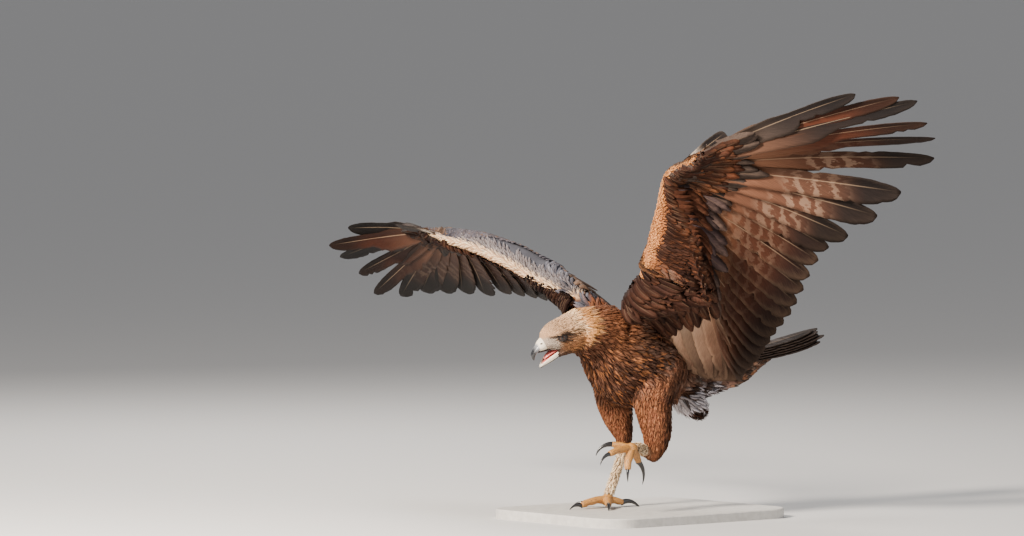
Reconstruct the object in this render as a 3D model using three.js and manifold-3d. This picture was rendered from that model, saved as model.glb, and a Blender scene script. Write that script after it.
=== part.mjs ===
// A golden eagle at life size, striding with both wings raised, on a plain flat base.
// Millimetres, +Z up. The bird faces -Y and its left side is +X.
// The origin is the centre of the base's underside.
import * as THREE from "three";
import Module from "manifold-3d";

const wasm = await Module();
wasm.setup();

// Clearances and plain directions
const GAP = 0.3;
const LEFTWARD = new THREE.Vector3(1, 0, 0);
const UPWARD = new THREE.Vector3(0, 0, 1);
const FORWARD = new THREE.Vector3(0, -1, 0);

// The base: a flat slab with rounded corners
const BASE = { length: 460, width: 380, thick: 18, corner: 60, edge: 2 };
const SOLE = BASE.thick + GAP;

// Trunk, from the root of the neck to the root of the tail.
// Each row is x, y, z of the middle, then half width, height above it and depth below it.
const TRUNK = [
  [0, -134, 341, 24, 28, 22],
  [0, -118, 338, 40, 50, 40],
  [0, -94, 330, 56, 68, 62],
  [0, -52, 317, 80, 82, 94],
  [0, 5, 304, 84, 78, 98],
  [0, 60, 293, 74, 64, 84],
  [0, 110, 283, 56, 44, 66],
  [0, 150, 278, 38, 29, 52],
  [0, 176, 276, 25, 17, 38],
];

// The loose feathers that hang below the vent
const VENT = [
  [20, 66, 250, 26, 22, 24],
  [24, 94, 226, 26, 24, 24],
  [27, 117, 206, 17, 16, 15],
  [29, 128, 194, 7, 6, 6],
];

// Neck, from inside the chest to the back of the skull
const NECK = [
  [0, -82, 350, 60, 58, 60],
  [-1, -108, 356, 56, 52, 62],
  [-3, -132, 360, 50, 46, 54],
  [-6, -152, 360, 44, 42, 46],
];

// Head: where the point between the eyes is, and how far the head is turned
const HEAD = { at: [-18, -190, 351], pitch: 16, turn: 18 };
const SKULL = [
  [0, 50, 2, 36, 41, 38],
  [0, 38, 2, 38, 37, 39],
  [0, 18, 2, 36.5, 31.5, 37],
  [0, -4, 0, 31.5, 31, 32],
  [0, -20, -2, 25, 25.5, 25],
  [0, -31, -5, 17.5, 17, 13],
  [0, -38, -7, 12, 11, 8],
];
const CHIN = [
  [0, 20, -20, 26, 14, 20],
  [0, -2, -27, 20, 8, 10],
  [0, -20, -31.5, 13, 4, 6],
];
const CERE = [
  [0, -28, -6, 14.5, 18, 11],
  [0, -37, -7.5, 13.4, 13, 9.5],
  [0, -46, -9.6, 11.6, 7, 6.4],
];
const UPPER_BILL = [
  [0, -46.4, -9.6, 11.2, 6.6, 6],
  [0, -51.8, -13.2, 9.2, 5.2, 5],
  [0, -56.3, -18, 7, 5, 4.4],
  [0, -58.4, -23.5, 4.2, 3.6, 3.2],
  [0, -58.6, -29, 1.1, 1.2, 1.1],
];
const LOWER_BILL = [
  [0, -20.6, -32.4, 11.5, 4.4, 7],
  [0, -31, -36, 9.8, 4, 6.2],
  [0, -41, -40.2, 7, 3.2, 4.4],
  [0, -50.3, -46.4, 1.6, 1, 1.3],
];
const TONGUE = [
  [0, -8, -25, 7, 2.6, 2.4],
  [0, -22, -27.4, 6.6, 2.4, 2.4],
  [0, -36, -32.6, 3, 1.6, 1.4],
];
const MOUTH = { corner: [-8, -21], reach: 70, above: -11, below: -44, half: 15 };
const EYE = { at: [24.5, 0, 0], radius: 9.5, lid: 8, lidThick: 1.6, lidOut: 6.2 };
const ORBIT = { at: [41, 0, 0], radius: 13.5 };
const BROW = [
  [18, -23, 6.6, 3, 2.4, 2.6],
  [28, -8, 8.4, 4.6, 3, 3.4],
  [32.5, 9, 7.6, 3, 2.4, 3],
];
const NOSTRIL = { at: [13.6, -39.5, -1.5], long: 3.6, tall: 1.5, deep: 3, tilt: 25 };

// Legs. The right foot stands and the left foot is lifted in front of it.
const RIGHT_THIGH = [
  [-38, 24, 305, 40, 60, 50],
  [-46, -14, 262, 40, 52, 44],
  [-47, -20, 225, 35, 43, 34],
  [-46, -14, 185, 26, 32, 26],
  [-44, -4, 152, 16, 18, 17],
  [-44, -1, 136, 11, 11, 12],
];
const RIGHT_SHANK = [
  [-44, 0, 143, 9.5, 10, 11],
  [-44, -10, 112, 9, 10, 10],
  [-45, -27, 72, 9, 9.5, 10],
  [-45, -41, 40, 9.5, 10, 9],
];
const LEFT_THIGH = [
  [42, 30, 300, 42, 58, 46],
  [55, -12, 252, 40, 46, 42],
  [60, -18, 205, 33, 36, 34],
  [62, -13, 165, 28, 29, 28],
  [57, -14, 134, 20, 21, 20],
  [51, -20, 113, 10, 10, 11],
];
const LEFT_SHANK = [
  [52, -26, 128, 13, 13, 13],
  [60, -46, 135, 13, 13, 12],
  [71, -72, 140, 10.5, 10.5, 10],
  [78, -86, 139, 9.5, 9, 9],
];

// Feet: the joint of the toes, then for each toe the run of its middle line from that joint.
const RIGHT_FOOT = { joint: [-45, -44, SOLE + 15] };
const LEFT_FOOT = { joint: [79, -90, 139] };
const TOE = { root: 9, tip: 6.2, flat: 0.86 };
const RIGHT_TOES = {
  inner: [[0, 0, 0], [17, -12, -2], [33, -25, -7]],
  middle: [[0, 0, 0], [-2, -24, 0], [-4, -45, -4], [-5, -60, -8]],
  outer: [[0, 0, 0], [-20, -12, -2], [-38, -25, -7.5]],
  hind: [[0, 0, 0], [5, 16, -2], [8, 31, -6]],
};
const LEFT_TOES = {
  inner: [[0, 0, 0], [-12, -16, 6], [-21, -30, 9]],
  middle: [[0, 0, 0], [2, -20, 0], [3, -40, -2], [3, -57, -7]],
  outer: [[0, 0, 0], [9, -11, -11], [15, -21, -24], [18, -24, -37]],
  hind: [[0, 0, 0], [-1, 12, -12], [-2, 20, -26]],
};
// Claws: length along the curve, root radius and how far the tip has turned
const CLAWS = {
  inner: { long: 44, radius: 5.4, turn: 88 },
  middle: { long: 35, radius: 4.6, turn: 78 },
  outer: { long: 28, radius: 4.2, turn: 78 },
  hind: { long: 52, radius: 5.8, turn: 92 },
};
// The way that each claw sets out, which is bent down to lie over the base on the standing foot
const CLAW_LIFT = { right: 0.55, left: 0.1 };

// Flight feathers are numbered from the outermost primary inwards.
const PRIMARIES = 10;
const SECONDARIES = 13;
const TERTIALS = 5;
const WRIST = PRIMARIES - 0.5;
const ELBOW = WRIST + SECONDARIES;
const INNERMOST = PRIMARIES + SECONDARIES + TERTIALS - 1;

// Each wing: its joints, and the lie of its feathers as rows of feather number, direction, length.
const LEFT_WING = {
  side: 1,
  shoulder: [64, -84, 392],
  elbow: [240, -40, 443],
  wrist: [217, -103, 658],
  handTip: [324, -108, 712],
  front: [
    [320, -112, 711],
    [266, -116, 686],
    [212, -122, 663],
    [180, -113, 602],
    [141, -92, 540],
    [103, -82, 486],
    [70, -94, 424],
  ],
  fan: [
    [0, 0.943, 0.131, 0.305, 375],
    [1, 0.951, 0.186, 0.248, 465],
    [2, 0.955, 0.194, 0.224, 511],
    [3, 0.958, 0.242, 0.152, 518],
    [4, 0.926, 0.361, 0.107, 504],
    [5, 0.861, 0.506, 0.04, 476],
    [6, 0.836, 0.54, -0.098, 416],
    [7, 0.787, 0.578, -0.214, 379],
    [8, 0.707, 0.618, -0.343, 338],
    [9, 0.611, 0.668, -0.425, 316],
    [11, 0.388, 0.744, -0.543, 303],
    [13, 0.183, 0.77, -0.611, 305],
    [16, -0.091, 0.765, -0.637, 310],
    [19, -0.25, 0.722, -0.645, 305],
    [22, -0.39, 0.666, -0.636, 286],
    [24, -0.338, 0.657, -0.674, 252],
    [26, -0.228, 0.7, -0.677, 207],
    [28, -0.054, 0.796, -0.603, 160],
  ],
};
const RIGHT_WING = {
  side: -1,
  shoulder: [-64, -84, 392],
  elbow: [-210, -32, 464],
  wrist: [-392, -139, 521],
  handTip: [-507, -114, 530],
  front: [
    [-497, -116, 530],
    [-447, -138, 528],
    [-391, -156, 524],
    [-325, -137, 509],
    [-256, -118, 484],
    [-190, -100, 454],
    [-84, -94, 424],
  ],
  fan: [
    [0, -0.958, 0.286, -0.028, 391],
    [1, -0.959, 0.266, -0.099, 483],
    [2, -0.934, 0.33, -0.136, 530],
    [3, -0.902, 0.387, -0.192, 538],
    [4, -0.871, 0.409, -0.271, 517],
    [5, -0.826, 0.48, -0.295, 485],
    [6, -0.791, 0.536, -0.297, 436],
    [7, -0.743, 0.588, -0.32, 388],
    [8, -0.672, 0.657, -0.342, 358],
    [9, -0.569, 0.732, -0.375, 332],
    [10, -0.494, 0.787, -0.37, 321],
    [12, -0.422, 0.828, -0.37, 312],
    [14, -0.377, 0.846, -0.377, 304],
    [16, -0.309, 0.861, -0.404, 298],
    [19, -0.236, 0.869, -0.435, 290],
    [22, -0.139, 0.865, -0.482, 275],
    [26, -0.13, 0.903, -0.41, 212],
    [28, -0.175, 0.928, -0.328, 170],
  ],
};

// Vanes: widths on the leading and trailing side of the shaft, and thickness
const PRIMARY = { lead: 16, trail: 36, thick: 0.7, ridge: 0.4 };
const SECONDARY = { lead: 13, trail: 26, thick: 0.7, ridge: 0 };
const CAMBER = 12;
const SHINGLE_TILT = 0.14;
const ROOT_SUNK = 8;
const COVERTS = [
  { over: 1, count: 7, share: 0.42, lift: 12, lead: 28, trail: 34, from: 0.8 },
  { over: -1, count: 7, share: 0.4, lift: 9, lead: 28, trail: 34, from: 0.8 },
];
const COVERT_CLEAR = 9;
const ALULA = { count: 2, long: 128, lead: 9, trail: 20 };

// Tail: a slightly opened fan, cocked up and rolled with its left side down
const TAIL = {
  root: [0, 158, 283],
  rise: 10,
  roll: 3,
  long: 300,
  spread: 6.5,
  pairs: 6,
  half: 24,
  step: 1.6,
};
const TAIL_STUMP = [
  [0, 150, 280, 28, 22, 44],
  [0, 195, 286, 28, 19, 50],
  [0, 240, 293, 26, 14, 50],
  [0, 282, 301, 21, 10, 34],
  [0, 322, 307, 12, 6, 20],
];
const TAIL_COVERTS = { count: 4, above: 120, half: 18, spread: 5, lift: 4 };

// Colours, roughness
const PAINTS = {
  breast: [0x5a3520, 0.9],
  hackle: [0x9c6b3c, 0.9],
  face: [0x8d6a4a, 0.9],
  flight: [0x3d2a20, 0.75],
  trouser: [0x7a452a, 0.9],
  shank: [0xd8c3a4, 0.9],
  toe: [0xd9a441, 0.55],
  horn: [0x25272b, 0.35],
  cere: [0xc9b98f, 0.5],
  tongue: [0xb65a4e, 0.5],
  eye: [0x2a1a10, 0.1],
  base: [0xd5d2cc, 0.7],
};

const vec = (p) => new THREE.Vector3(p[0], p[1], p[2]);
const radians = THREE.MathUtils.degToRad;
const mix = (a, b, t) => a.clone().lerp(b, t);
const ramp = (from, to, t) => THREE.MathUtils.smoothstep(t, from, to);

// Triangles as a closed solid, turned to face outwards
function solidOf(points, triangles) {
  const vertProperties = new Float32Array(points.flatMap((p) => [p.x, p.y, p.z]));
  const make = (order) =>
    new wasm.Manifold(new wasm.Mesh({ numProp: 3, vertProperties, triVerts: order }));
  const made = make(new Uint32Array(triangles));
  return made.volume() < 0 ? make(new Uint32Array([...triangles].reverse())) : made;
}

// A closed skin over rings of points, with each end fanned to its middle
function skin(rings) {
  const sides = rings[0].length;
  const points = rings.flat();
  const triangles = [];
  const ring = (r, s) => r * sides + (s % sides);
  for (let r = 0; r + 1 < rings.length; r++) {
    for (let s = 0; s < sides; s++) {
      triangles.push(ring(r, s), ring(r, s + 1), ring(r + 1, s));
      triangles.push(ring(r, s + 1), ring(r + 1, s + 1), ring(r + 1, s));
    }
  }
  const last = rings.length - 1;
  const middle = (points) =>
    points.reduce((sum, p) => sum.add(p), new THREE.Vector3()).divideScalar(sides);
  points.push(middle(rings[0]), middle(rings[last]));
  for (let s = 0; s < sides; s++) {
    triangles.push(points.length - 2, ring(0, s + 1), ring(0, s));
    triangles.push(points.length - 1, ring(last, s), ring(last, s + 1));
  }
  return solidOf(points, triangles);
}

// The numbers at place t on a smooth curve through rows, where t runs from 0 to the last row
function along(rows, t) {
  const last = rows.length - 1;
  const i = Math.max(0, Math.min(Math.floor(t), last - 1));
  const f = t - i;
  const row = (k) => rows[Math.max(0, Math.min(last, k))];
  return rows[0].map((_, j) => {
    const [a, b, c, d] = [row(i - 1)[j], row(i)[j], row(i + 1)[j], row(i + 2)[j]];
    return b + 0.5 * f * (c - a + f * (2 * a - 5 * b + 4 * c - d + f * (3 * (b - c) + d - a)));
  });
}

// A rounded form along rows of middle point, half width, height above and depth below.
// grow makes every side that much larger.
function tube(rows, { sides = 12, rings, across = LEFTWARD, upward = UPWARD, grow = 0 } = {}) {
  const count = rings ?? 2 * rows.length - 1;
  const samples = Array.from({ length: count }, (_, i) =>
    along(rows, (i / (count - 1)) * (rows.length - 1)),
  );
  const middles = samples.map(vec);
  const made = samples.map(([, , , wide, tall, deep], i) => {
    const before = middles[Math.max(0, i - 1)];
    const after = middles[Math.min(count - 1, i + 1)];
    const ahead = after.clone().sub(before).normalize();
    const side = across.clone().addScaledVector(ahead, -across.dot(ahead)).normalize();
    const up = ahead.clone().cross(side);
    if (up.dot(upward) < 0) up.negate();
    const end = i === 0 ? -grow : i === count - 1 ? grow : 0;
    return Array.from({ length: sides }, (_, s) => {
      const turn = (2 * Math.PI * s) / sides;
      const height = Math.sin(turn) > 0 ? tall : deep;
      return middles[i]
        .clone()
        .addScaledVector(ahead, end)
        .addScaledVector(side, Math.cos(turn) * (wide + grow))
        .addScaledVector(up, Math.sin(turn) * (height + grow));
    });
  });
  return skin(made);
}

// A thin plate between two grids of points, both split along the same diagonals
function plate(top, bottom) {
  const rows = top.length;
  const columns = top[0].length;
  const id = (face, r, c) => (face * rows + r) * columns + c;
  const triangles = [];
  const quad = (a, b, c, d) => triangles.push(a, b, c, a, c, d);
  for (let r = 0; r + 1 < rows; r++) {
    for (let c = 0; c + 1 < columns; c++) {
      quad(id(0, r, c), id(0, r, c + 1), id(0, r + 1, c + 1), id(0, r + 1, c));
      quad(id(1, r, c), id(1, r + 1, c), id(1, r + 1, c + 1), id(1, r, c + 1));
    }
    const end = columns - 1;
    quad(id(0, r, 0), id(0, r + 1, 0), id(1, r + 1, 0), id(1, r, 0));
    quad(id(0, r, end), id(1, r, end), id(1, r + 1, end), id(0, r + 1, end));
  }
  for (let c = 0; c + 1 < columns; c++) {
    const end = rows - 1;
    quad(id(0, 0, c), id(1, 0, c), id(1, 0, c + 1), id(0, 0, c + 1));
    quad(id(0, end, c), id(0, end, c + 1), id(1, end, c + 1), id(1, end, c));
  }
  return solidOf([...top.flat(), ...bottom.flat()], triangles);
}

// Outlines give the share of the leading and trailing width at place t along a vane.
const rounded = (t, from) => Math.sqrt(Math.max(0.012, 1 - Math.max(0, (t - from) / (1 - from)) ** 2));
function primaryOutline(notch) {
  return (t) => {
    const base = 0.3 + 0.7 * t ** 0.8 * (2 - t ** 0.8);
    const tip = rounded(t, 0.74);
    const lead = base * tip * (1 - 0.35 * notch * ramp(0.4, 0.56, t));
    const trail = base * tip * (1 - 0.5 * notch * ramp(0.46, 0.62, t));
    return [lead, trail];
  };
}
function bluntOutline(t) {
  const width = (0.4 + 0.6 * Math.min(1, 1.8 * t)) * rounded(t, 0.84);
  return [width, width];
}
const PRIMARY_STEPS = [0, 0.45, 0.62, 0.85, 1];
const SECONDARY_STEPS = [0, 0.5, 0.93, 1];
const TAIL_STEPS = [0, 0.9, 1];
const COVERT_STEPS = [0, 0.9, 1];

// One vane: a thin curved blade with an optional ridge along its shaft
function vane({ root, dir, edge, up, long, lead, trail, thick, ridge, outline, steps, bow = 0 }) {
  const faces = [[], []];
  for (const t of steps) {
    const [ahead, behind] = outline(t);
    const middle = root
      .clone()
      .addScaledVector(dir, long * t)
      .addScaledVector(up, bow * Math.sin(Math.PI * t));
    const offsets = ridge ? [lead * ahead, 0, -trail * behind] : [lead * ahead, -trail * behind];
    for (const [face, sign] of [[0, 1], [1, -1]]) {
      faces[face].push(
        offsets.map((offset) => {
          const half = thick / 2 + (ridge && offset === 0 ? ridge * (1 - 0.75 * t) : 0);
          return middle.clone().addScaledVector(edge, offset).addScaledVector(up, sign * half);
        }),
      );
    }
  }
  return plate(faces[0], faces[1]);
}

// Joins pieces and keeps the largest closed surface of the result
const join = (pieces) => largest(wasm.Manifold.union(pieces));
function largest(solid) {
  return solid.decompose().reduce((a, b) => (b.volume() > a.volume() ? b : a));
}

// The surface that one wing's feathers lie on, read at any feather number
function wingSurface({ side, shoulder, elbow, wrist, handTip, fan }) {
  const joints = [vec(handTip), vec(wrist), vec(elbow), mix(vec(elbow), vec(shoulder), 0.8)];
  const numbers = [-0.5, WRIST, ELBOW, INNERMOST + 0.5];
  const lies = fan.map((row) => row.slice(1));
  const rootAt = (k) => {
    const i = k < WRIST ? 0 : k < ELBOW ? 1 : 2;
    return mix(joints[i], joints[i + 1], (k - numbers[i]) / (numbers[i + 1] - numbers[i]));
  };
  const lieAt = (k) => {
    let i = fan.findIndex((row) => row[0] > k) - 1;
    if (i < -1) i = fan.length - 2;
    i = Math.max(0, i);
    const [x, y, z, long] = along(lies, i + (k - fan[i][0]) / (fan[i + 1][0] - fan[i][0]));
    return { dir: new THREE.Vector3(x, y, z).normalize(), long };
  };
  return (k) => {
    const { dir, long } = lieAt(k);
    const point = (n) => {
      const lie = lieAt(n);
      return rootAt(n).addScaledVector(lie.dir, 0.45 * lie.long);
    };
    const inwards = point(k + 0.6).sub(point(k - 0.6));
    const edge = inwards.negate();
    edge.addScaledVector(dir, -edge.dot(dir)).normalize();
    const up = edge.clone().cross(dir).multiplyScalar(side);
    return { root: rootAt(k), dir, long, edge, up };
  };
}

// The leading edge's vane is raised and the trailing edge's lowered, so that vanes overlap as tiles do
function tilted({ edge, up, ...rest }, angle) {
  return {
    ...rest,
    edge: edge.clone().multiplyScalar(Math.cos(angle)).addScaledVector(up, Math.sin(angle)),
    up: up.clone().multiplyScalar(Math.cos(angle)).addScaledVector(edge, -Math.sin(angle)),
  };
}

function flightFeathers(surface) {
  return Array.from({ length: INNERMOST + 1 }, (_, k) => {
    const place = tilted(surface(k), SHINGLE_TILT);
    place.root.addScaledVector(place.dir, -ROOT_SUNK);
    place.long += ROOT_SUNK;
    if (k >= PRIMARIES) {
      return vane({
        ...place,
        ...SECONDARY,
        outline: bluntOutline,
        steps: SECONDARY_STEPS,
        bow: CAMBER,
      });
    }
    const notch = 1 - ramp(3.5, 6.5, k);
    const fuller = 1 + 0.2 * ramp(3, 7, k);
    return vane({
      ...place,
      ...PRIMARY,
      lead: PRIMARY.lead * fuller,
      outline: primaryOutline(notch),
      steps: PRIMARY_STEPS,
      bow: CAMBER,
    });
  });
}

// One tier of coverts, which leans on the flight feathers from above or below
function covertTier(surface, { over, count, share, lift, lead, trail, from }) {
  const last = INNERMOST - 1.5;
  return Array.from({ length: count }, (_, i) => {
    const k = from + (i / (count - 1)) * (last - from);
    const place = surface(k);
    const { root, dir, up, long } = place;
    const reach = Math.min(long, 400) * share;
    const camber = CAMBER * Math.sin((Math.PI * reach) / long);
    const start = root.clone().addScaledVector(up, over * lift);
    const end = root
      .clone()
      .addScaledVector(dir, reach)
      .addScaledVector(up, camber + over * COVERT_CLEAR);
    const lean = end.sub(start);
    const run = lean.length();
    const ahead = lean.normalize();
    const out = up.clone().addScaledVector(ahead, -up.dot(ahead)).normalize();
    const laid = { ...place, root: start, dir: ahead, up: out };
    return vane({
      ...tilted(laid, SHINGLE_TILT),
      long: run,
      lead,
      trail,
      thick: 0.8,
      ridge: 0,
      outline: bluntOutline,
      steps: COVERT_STEPS,
      bow: over * 3,
    });
  });
}

// The small stiff feathers on the thumb, lifted off the hand's leading edge
function alula(surface) {
  return Array.from({ length: ALULA.count }, (_, i) => {
    const { root, edge, dir, up } = surface(WRIST - 3.2 - 0.5 * i);
    const ahead = surface(0).dir.clone().addScaledVector(edge, 0.5 - 0.08 * i).normalize();
    const across = edge.clone().addScaledVector(ahead, -edge.dot(ahead)).normalize();
    const out = up.clone().addScaledVector(ahead, -up.dot(ahead)).normalize();
    return vane({
      root: root.addScaledVector(edge, 8 - 2 * i).addScaledVector(up, 1 + 2 * i),
      dir: ahead,
      edge: across,
      up: out,
      long: ALULA.long - 16 * i,
      lead: ALULA.lead,
      trail: ALULA.trail,
      thick: 0.8,
      ridge: 0.8,
      outline: bluntOutline,
      steps: COVERT_STEPS,
      bow: 3,
    });
  });
}

// Sections of the fleshy part: feather number, place along the front edge, thickness,
// and how much fuller the upper side is
const ARM_SECTIONS = [
  [0.2, 0, 8, 0],
  [4.5, 1, 15, 1],
  [WRIST, 2, 24, 6],
  [WRIST + 4.4, 3, 30, 15],
  [WRIST + 8.8, 4, 36, 17],
  [ELBOW, 5, 42, 10],
  [ELBOW + 3.2, 5.6, 48, 4],
];

function wingFlesh(surface, { side, shoulder, front }) {
  const S = vec(shoulder);
  const chord = (lead, trail, up, thick, fuller = 0) => {
    const sides = 8;
    return Array.from({ length: sides }, (_, s) => {
      const turn = (2 * Math.PI * s) / sides;
      const share = 0.5 - 0.5 * Math.cos(turn);
      const half = thick / 2 + (Math.sin(turn) > 0.01 ? fuller : 0);
      const height = Math.sin(turn) * half * (1.3 - 0.85 * share);
      return mix(lead, trail, share).addScaledVector(up, height);
    });
  };
  const rings = ARM_SECTIONS.map(([k, place, thick, fuller]) => {
    const { root, dir, up } = surface(k);
    const lead = vec(along(front, place));
    const trail = root.clone().addScaledVector(dir, 20);
    return chord(lead, trail, up, thick, fuller);
  });
  const inner = new THREE.Vector3(-side * 40, 0, -10);
  const rear = new THREE.Vector3(0, 92, -34);
  const up = new THREE.Vector3(side * 0.35, 0.2, 1).normalize();
  const lead = vec(front.at(-1));
  rings.push(chord(lead, S.clone().add(rear), up, 62));
  rings.push(chord(lead.clone().add(inner), S.clone().add(rear).add(inner), up, 58));
  return skin(rings);
}

// A whole wing, parted at the wrist by a thin cut
function wing(pose) {
  const surface = wingSurface(pose);
  const whole = wasm.Manifold.union([
    wingFlesh(surface, pose),
    ...flightFeathers(surface),
    ...COVERTS.flatMap((tier) => covertTier(surface, tier)),
    ...alula(surface),
  ]);
  const { root, edge } = surface(WRIST);
  const cut = edge.dot(root);
  const facing = edge.toArray();
  const hand = largest(whole.trimByPlane(facing, cut + GAP / 2));
  const arm = whole.trimByPlane(facing.map((x) => -x), -(cut - GAP / 2));
  return { hand, arm };
}

// The tail: paired feathers fanned from a short stump, with coverts above and below
function tail() {
  const rise = radians(TAIL.rise);
  const roll = radians(TAIL.roll);
  const axis = new THREE.Vector3(0, Math.cos(rise), Math.sin(rise));
  const left = new THREE.Vector3(Math.cos(roll), 0, -Math.sin(roll));
  left.addScaledVector(axis, -left.dot(axis)).normalize();
  const up = left.clone().cross(axis);
  const fanned = (angle) => {
    const dir = axis.clone().multiplyScalar(Math.cos(angle)).addScaledVector(left, Math.sin(angle));
    const edge = left.clone().multiplyScalar(Math.cos(angle)).addScaledVector(axis, -Math.sin(angle));
    return { dir, edge };
  };
  const pieces = [tube(TAIL_STUMP, { sides: 12, rings: 7 })];
  const start = vec(TAIL.root).addScaledVector(axis, 18);
  for (let i = 0; i < 2 * TAIL.pairs; i++) {
    const side = i % 2 ? -1 : 1;
    const share = (Math.floor(i / 2) + 0.5) / TAIL.pairs;
    const root = start
      .clone()
      .addScaledVector(left, side * 15 * share)
      .addScaledVector(up, -TAIL.step * (i - TAIL.pairs));
    pieces.push(
      vane({
        root,
        ...fanned(radians(TAIL.spread) * share * side),
        up,
        long: TAIL.long - 18 - 16 * share * share,
        lead: TAIL.half,
        trail: TAIL.half,
        thick: 0.7,
        ridge: 0,
        outline: bluntOutline,
        steps: TAIL_STEPS,
      }),
    );
  }
  for (let i = 0; i < TAIL_COVERTS.count; i++) {
    const share = (2 * i) / (TAIL_COVERTS.count - 1) - 1;
    const root = start
      .clone()
      .addScaledVector(left, 14 * share)
      .addScaledVector(up, TAIL.step * (TAIL.pairs + 1 + i) + TAIL_COVERTS.lift);
    pieces.push(
      vane({
        root,
        ...fanned(radians(TAIL_COVERTS.spread) * share),
        up,
        long: TAIL_COVERTS.above * (1 - 0.15 * share * share),
        lead: TAIL_COVERTS.half,
        trail: TAIL_COVERTS.half,
        thick: 0.9,
        ridge: 0,
        outline: bluntOutline,
        steps: COVERT_STEPS,
      }),
    );
  }
  return join(pieces);
}

// The head, in its own frame: the eyes are level with the origin and the bill points along -Y
function headPieces() {
  const skull = (grow) => tube(SKULL, { sides: 18, rings: 13, grow });
  const eyeBall = (side, grow) => {
    const ball = new THREE.SphereGeometry(EYE.radius + grow, 12, 8);
    return fromGeometry(ball).translate([side * EYE.at[0], EYE.at[1], EYE.at[2]]);
  };
  const mirrored = (solid) => solid.mirror([1, 0, 0]);
  const orbit = fromGeometry(new THREE.SphereGeometry(ORBIT.radius, 12, 8)).translate(ORBIT.at);
  const brow = tube(BROW, { sides: 8, rings: 7 });
  const lidRing = fromGeometry(new THREE.TorusGeometry(EYE.lid, EYE.lidThick, 5, 12))
    .rotate([0, 90, 0])
    .translate([EYE.at[0] + EYE.lidOut, EYE.at[1], EYE.at[2]]);
  const [cornerY, cornerZ] = MOUTH.corner;
  const wedge = new THREE.Shape([
    new THREE.Vector2(cornerY, cornerZ),
    new THREE.Vector2(-MOUTH.reach, MOUTH.above - 4),
    new THREE.Vector2(-MOUTH.reach, MOUTH.below),
    new THREE.Vector2(cornerY, cornerZ - 5),
  ]);
  const gape = fromGeometry(
    new THREE.ExtrudeGeometry(wedge, { depth: 2 * 40, bevelEnabled: false }),
  )
    .translate([0, 0, -40])
    .rotate([90, 0, 90]);
  const mask = (grow) =>
    wasm.Manifold.union([skull(grow), tube(CHIN, { sides: 14, rings: 6, grow })]);
  const flesh = largest(
    mask(0)
      .subtract(orbit)
      .subtract(mirrored(orbit))
      .add(wasm.Manifold.union([brow, mirrored(brow), lidRing, mirrored(lidRing)]))
      .subtract(gape)
      .subtract(eyeBall(1, GAP))
      .subtract(eyeBall(-1, GAP)),
  );
  const clearOfFace = (solid) => largest(solid.subtract(mask(GAP)));
  const nostril = fromGeometry(new THREE.SphereGeometry(1, 8, 6))
    .scale([NOSTRIL.deep, NOSTRIL.long, NOSTRIL.tall])
    .rotate([NOSTRIL.tilt, 0, 0])
    .translate(NOSTRIL.at);
  const cere = clearOfFace(
    tube(CERE, { sides: 14, rings: 5 }).subtract(nostril).subtract(mirrored(nostril)),
  );
  const hook = tube(UPPER_BILL, { sides: 12, rings: 11 });
  const upper = largest(hook.subtract(tube(CERE, { sides: 14, rings: 5, grow: GAP })));
  const lower = clearOfFace(tube(LOWER_BILL, { sides: 12, rings: 8 }));
  const tongueBar = tube(TONGUE, { sides: 8, rings: 5 });
  const tongue = clearOfFace(
    tongueBar.subtract(tube(LOWER_BILL, { sides: 12, rings: 8, grow: GAP })),
  );
  return {
    head: flesh,
    cere,
    bill_upper: upper,
    bill_lower: lower,
    tongue,
    eye_left: eyeBall(1, 0),
    eye_right: eyeBall(-1, 0),
  };
}

function fromGeometry(geometry) {
  const flat = geometry.index ? geometry.toNonIndexed() : geometry;
  const position = flat.getAttribute("position");
  const points = [];
  const triangles = [];
  const seen = new Map();
  for (let i = 0; i < position.count; i++) {
    const p = new THREE.Vector3().fromBufferAttribute(position, i);
    const key = p.toArray().map((x) => Math.round(x * 1e4)).join();
    if (!seen.has(key)) {
      seen.set(key, points.length);
      points.push(p);
    }
    triangles.push(seen.get(key));
  }
  const kept = [];
  for (let i = 0; i < triangles.length; i += 3) {
    const [a, b, c] = triangles.slice(i, i + 3);
    if (a !== b && b !== c && a !== c) kept.push(a, b, c);
  }
  return solidOf(points, kept);
}

// One toe along its run from the joint, slightly flattened below
function toe(joint, run, grow = 0) {
  const rows = run.map((step, i) => {
    const radius = THREE.MathUtils.lerp(TOE.root, TOE.tip, i / (run.length - 1)) + grow;
    const [x, y, z] = vec(joint).add(vec(step)).toArray();
    return [x, y, z, radius, radius, radius * TOE.flat];
  });
  const across = new THREE.Vector3(run.at(-1)[1], -run.at(-1)[0], 0).normalize();
  return tube(rows, { sides: 8, rings: 2 * run.length - 1, across });
}

// A claw that starts inside the toe's end and curls down to its point
function claw(joint, run, { long, radius, turn }, lift) {
  const end = vec(joint).add(vec(run.at(-1)));
  const ahead = vec(run.at(-1)).sub(vec(run.at(-2)));
  ahead.z *= 0.4;
  ahead.normalize();
  ahead.z += lift;
  ahead.normalize();
  const across = new THREE.Vector3(ahead.y, -ahead.x, 0).normalize();
  const steps = 6;
  const rows = [];
  const at = end.clone().addScaledVector(ahead, -3);
  const heading = ahead.clone();
  for (let i = 0; i <= steps; i++) {
    const share = i / steps;
    const r = radius * (1 - share) ** 0.8 + 0.35;
    rows.push([at.x, at.y, at.z, r * 0.85, r, r]);
    at.addScaledVector(heading, long / steps);
    heading.applyAxisAngle(across, radians(-turn / steps));
  }
  return tube(rows, { sides: 7, rings: steps + 1, across });
}

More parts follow.
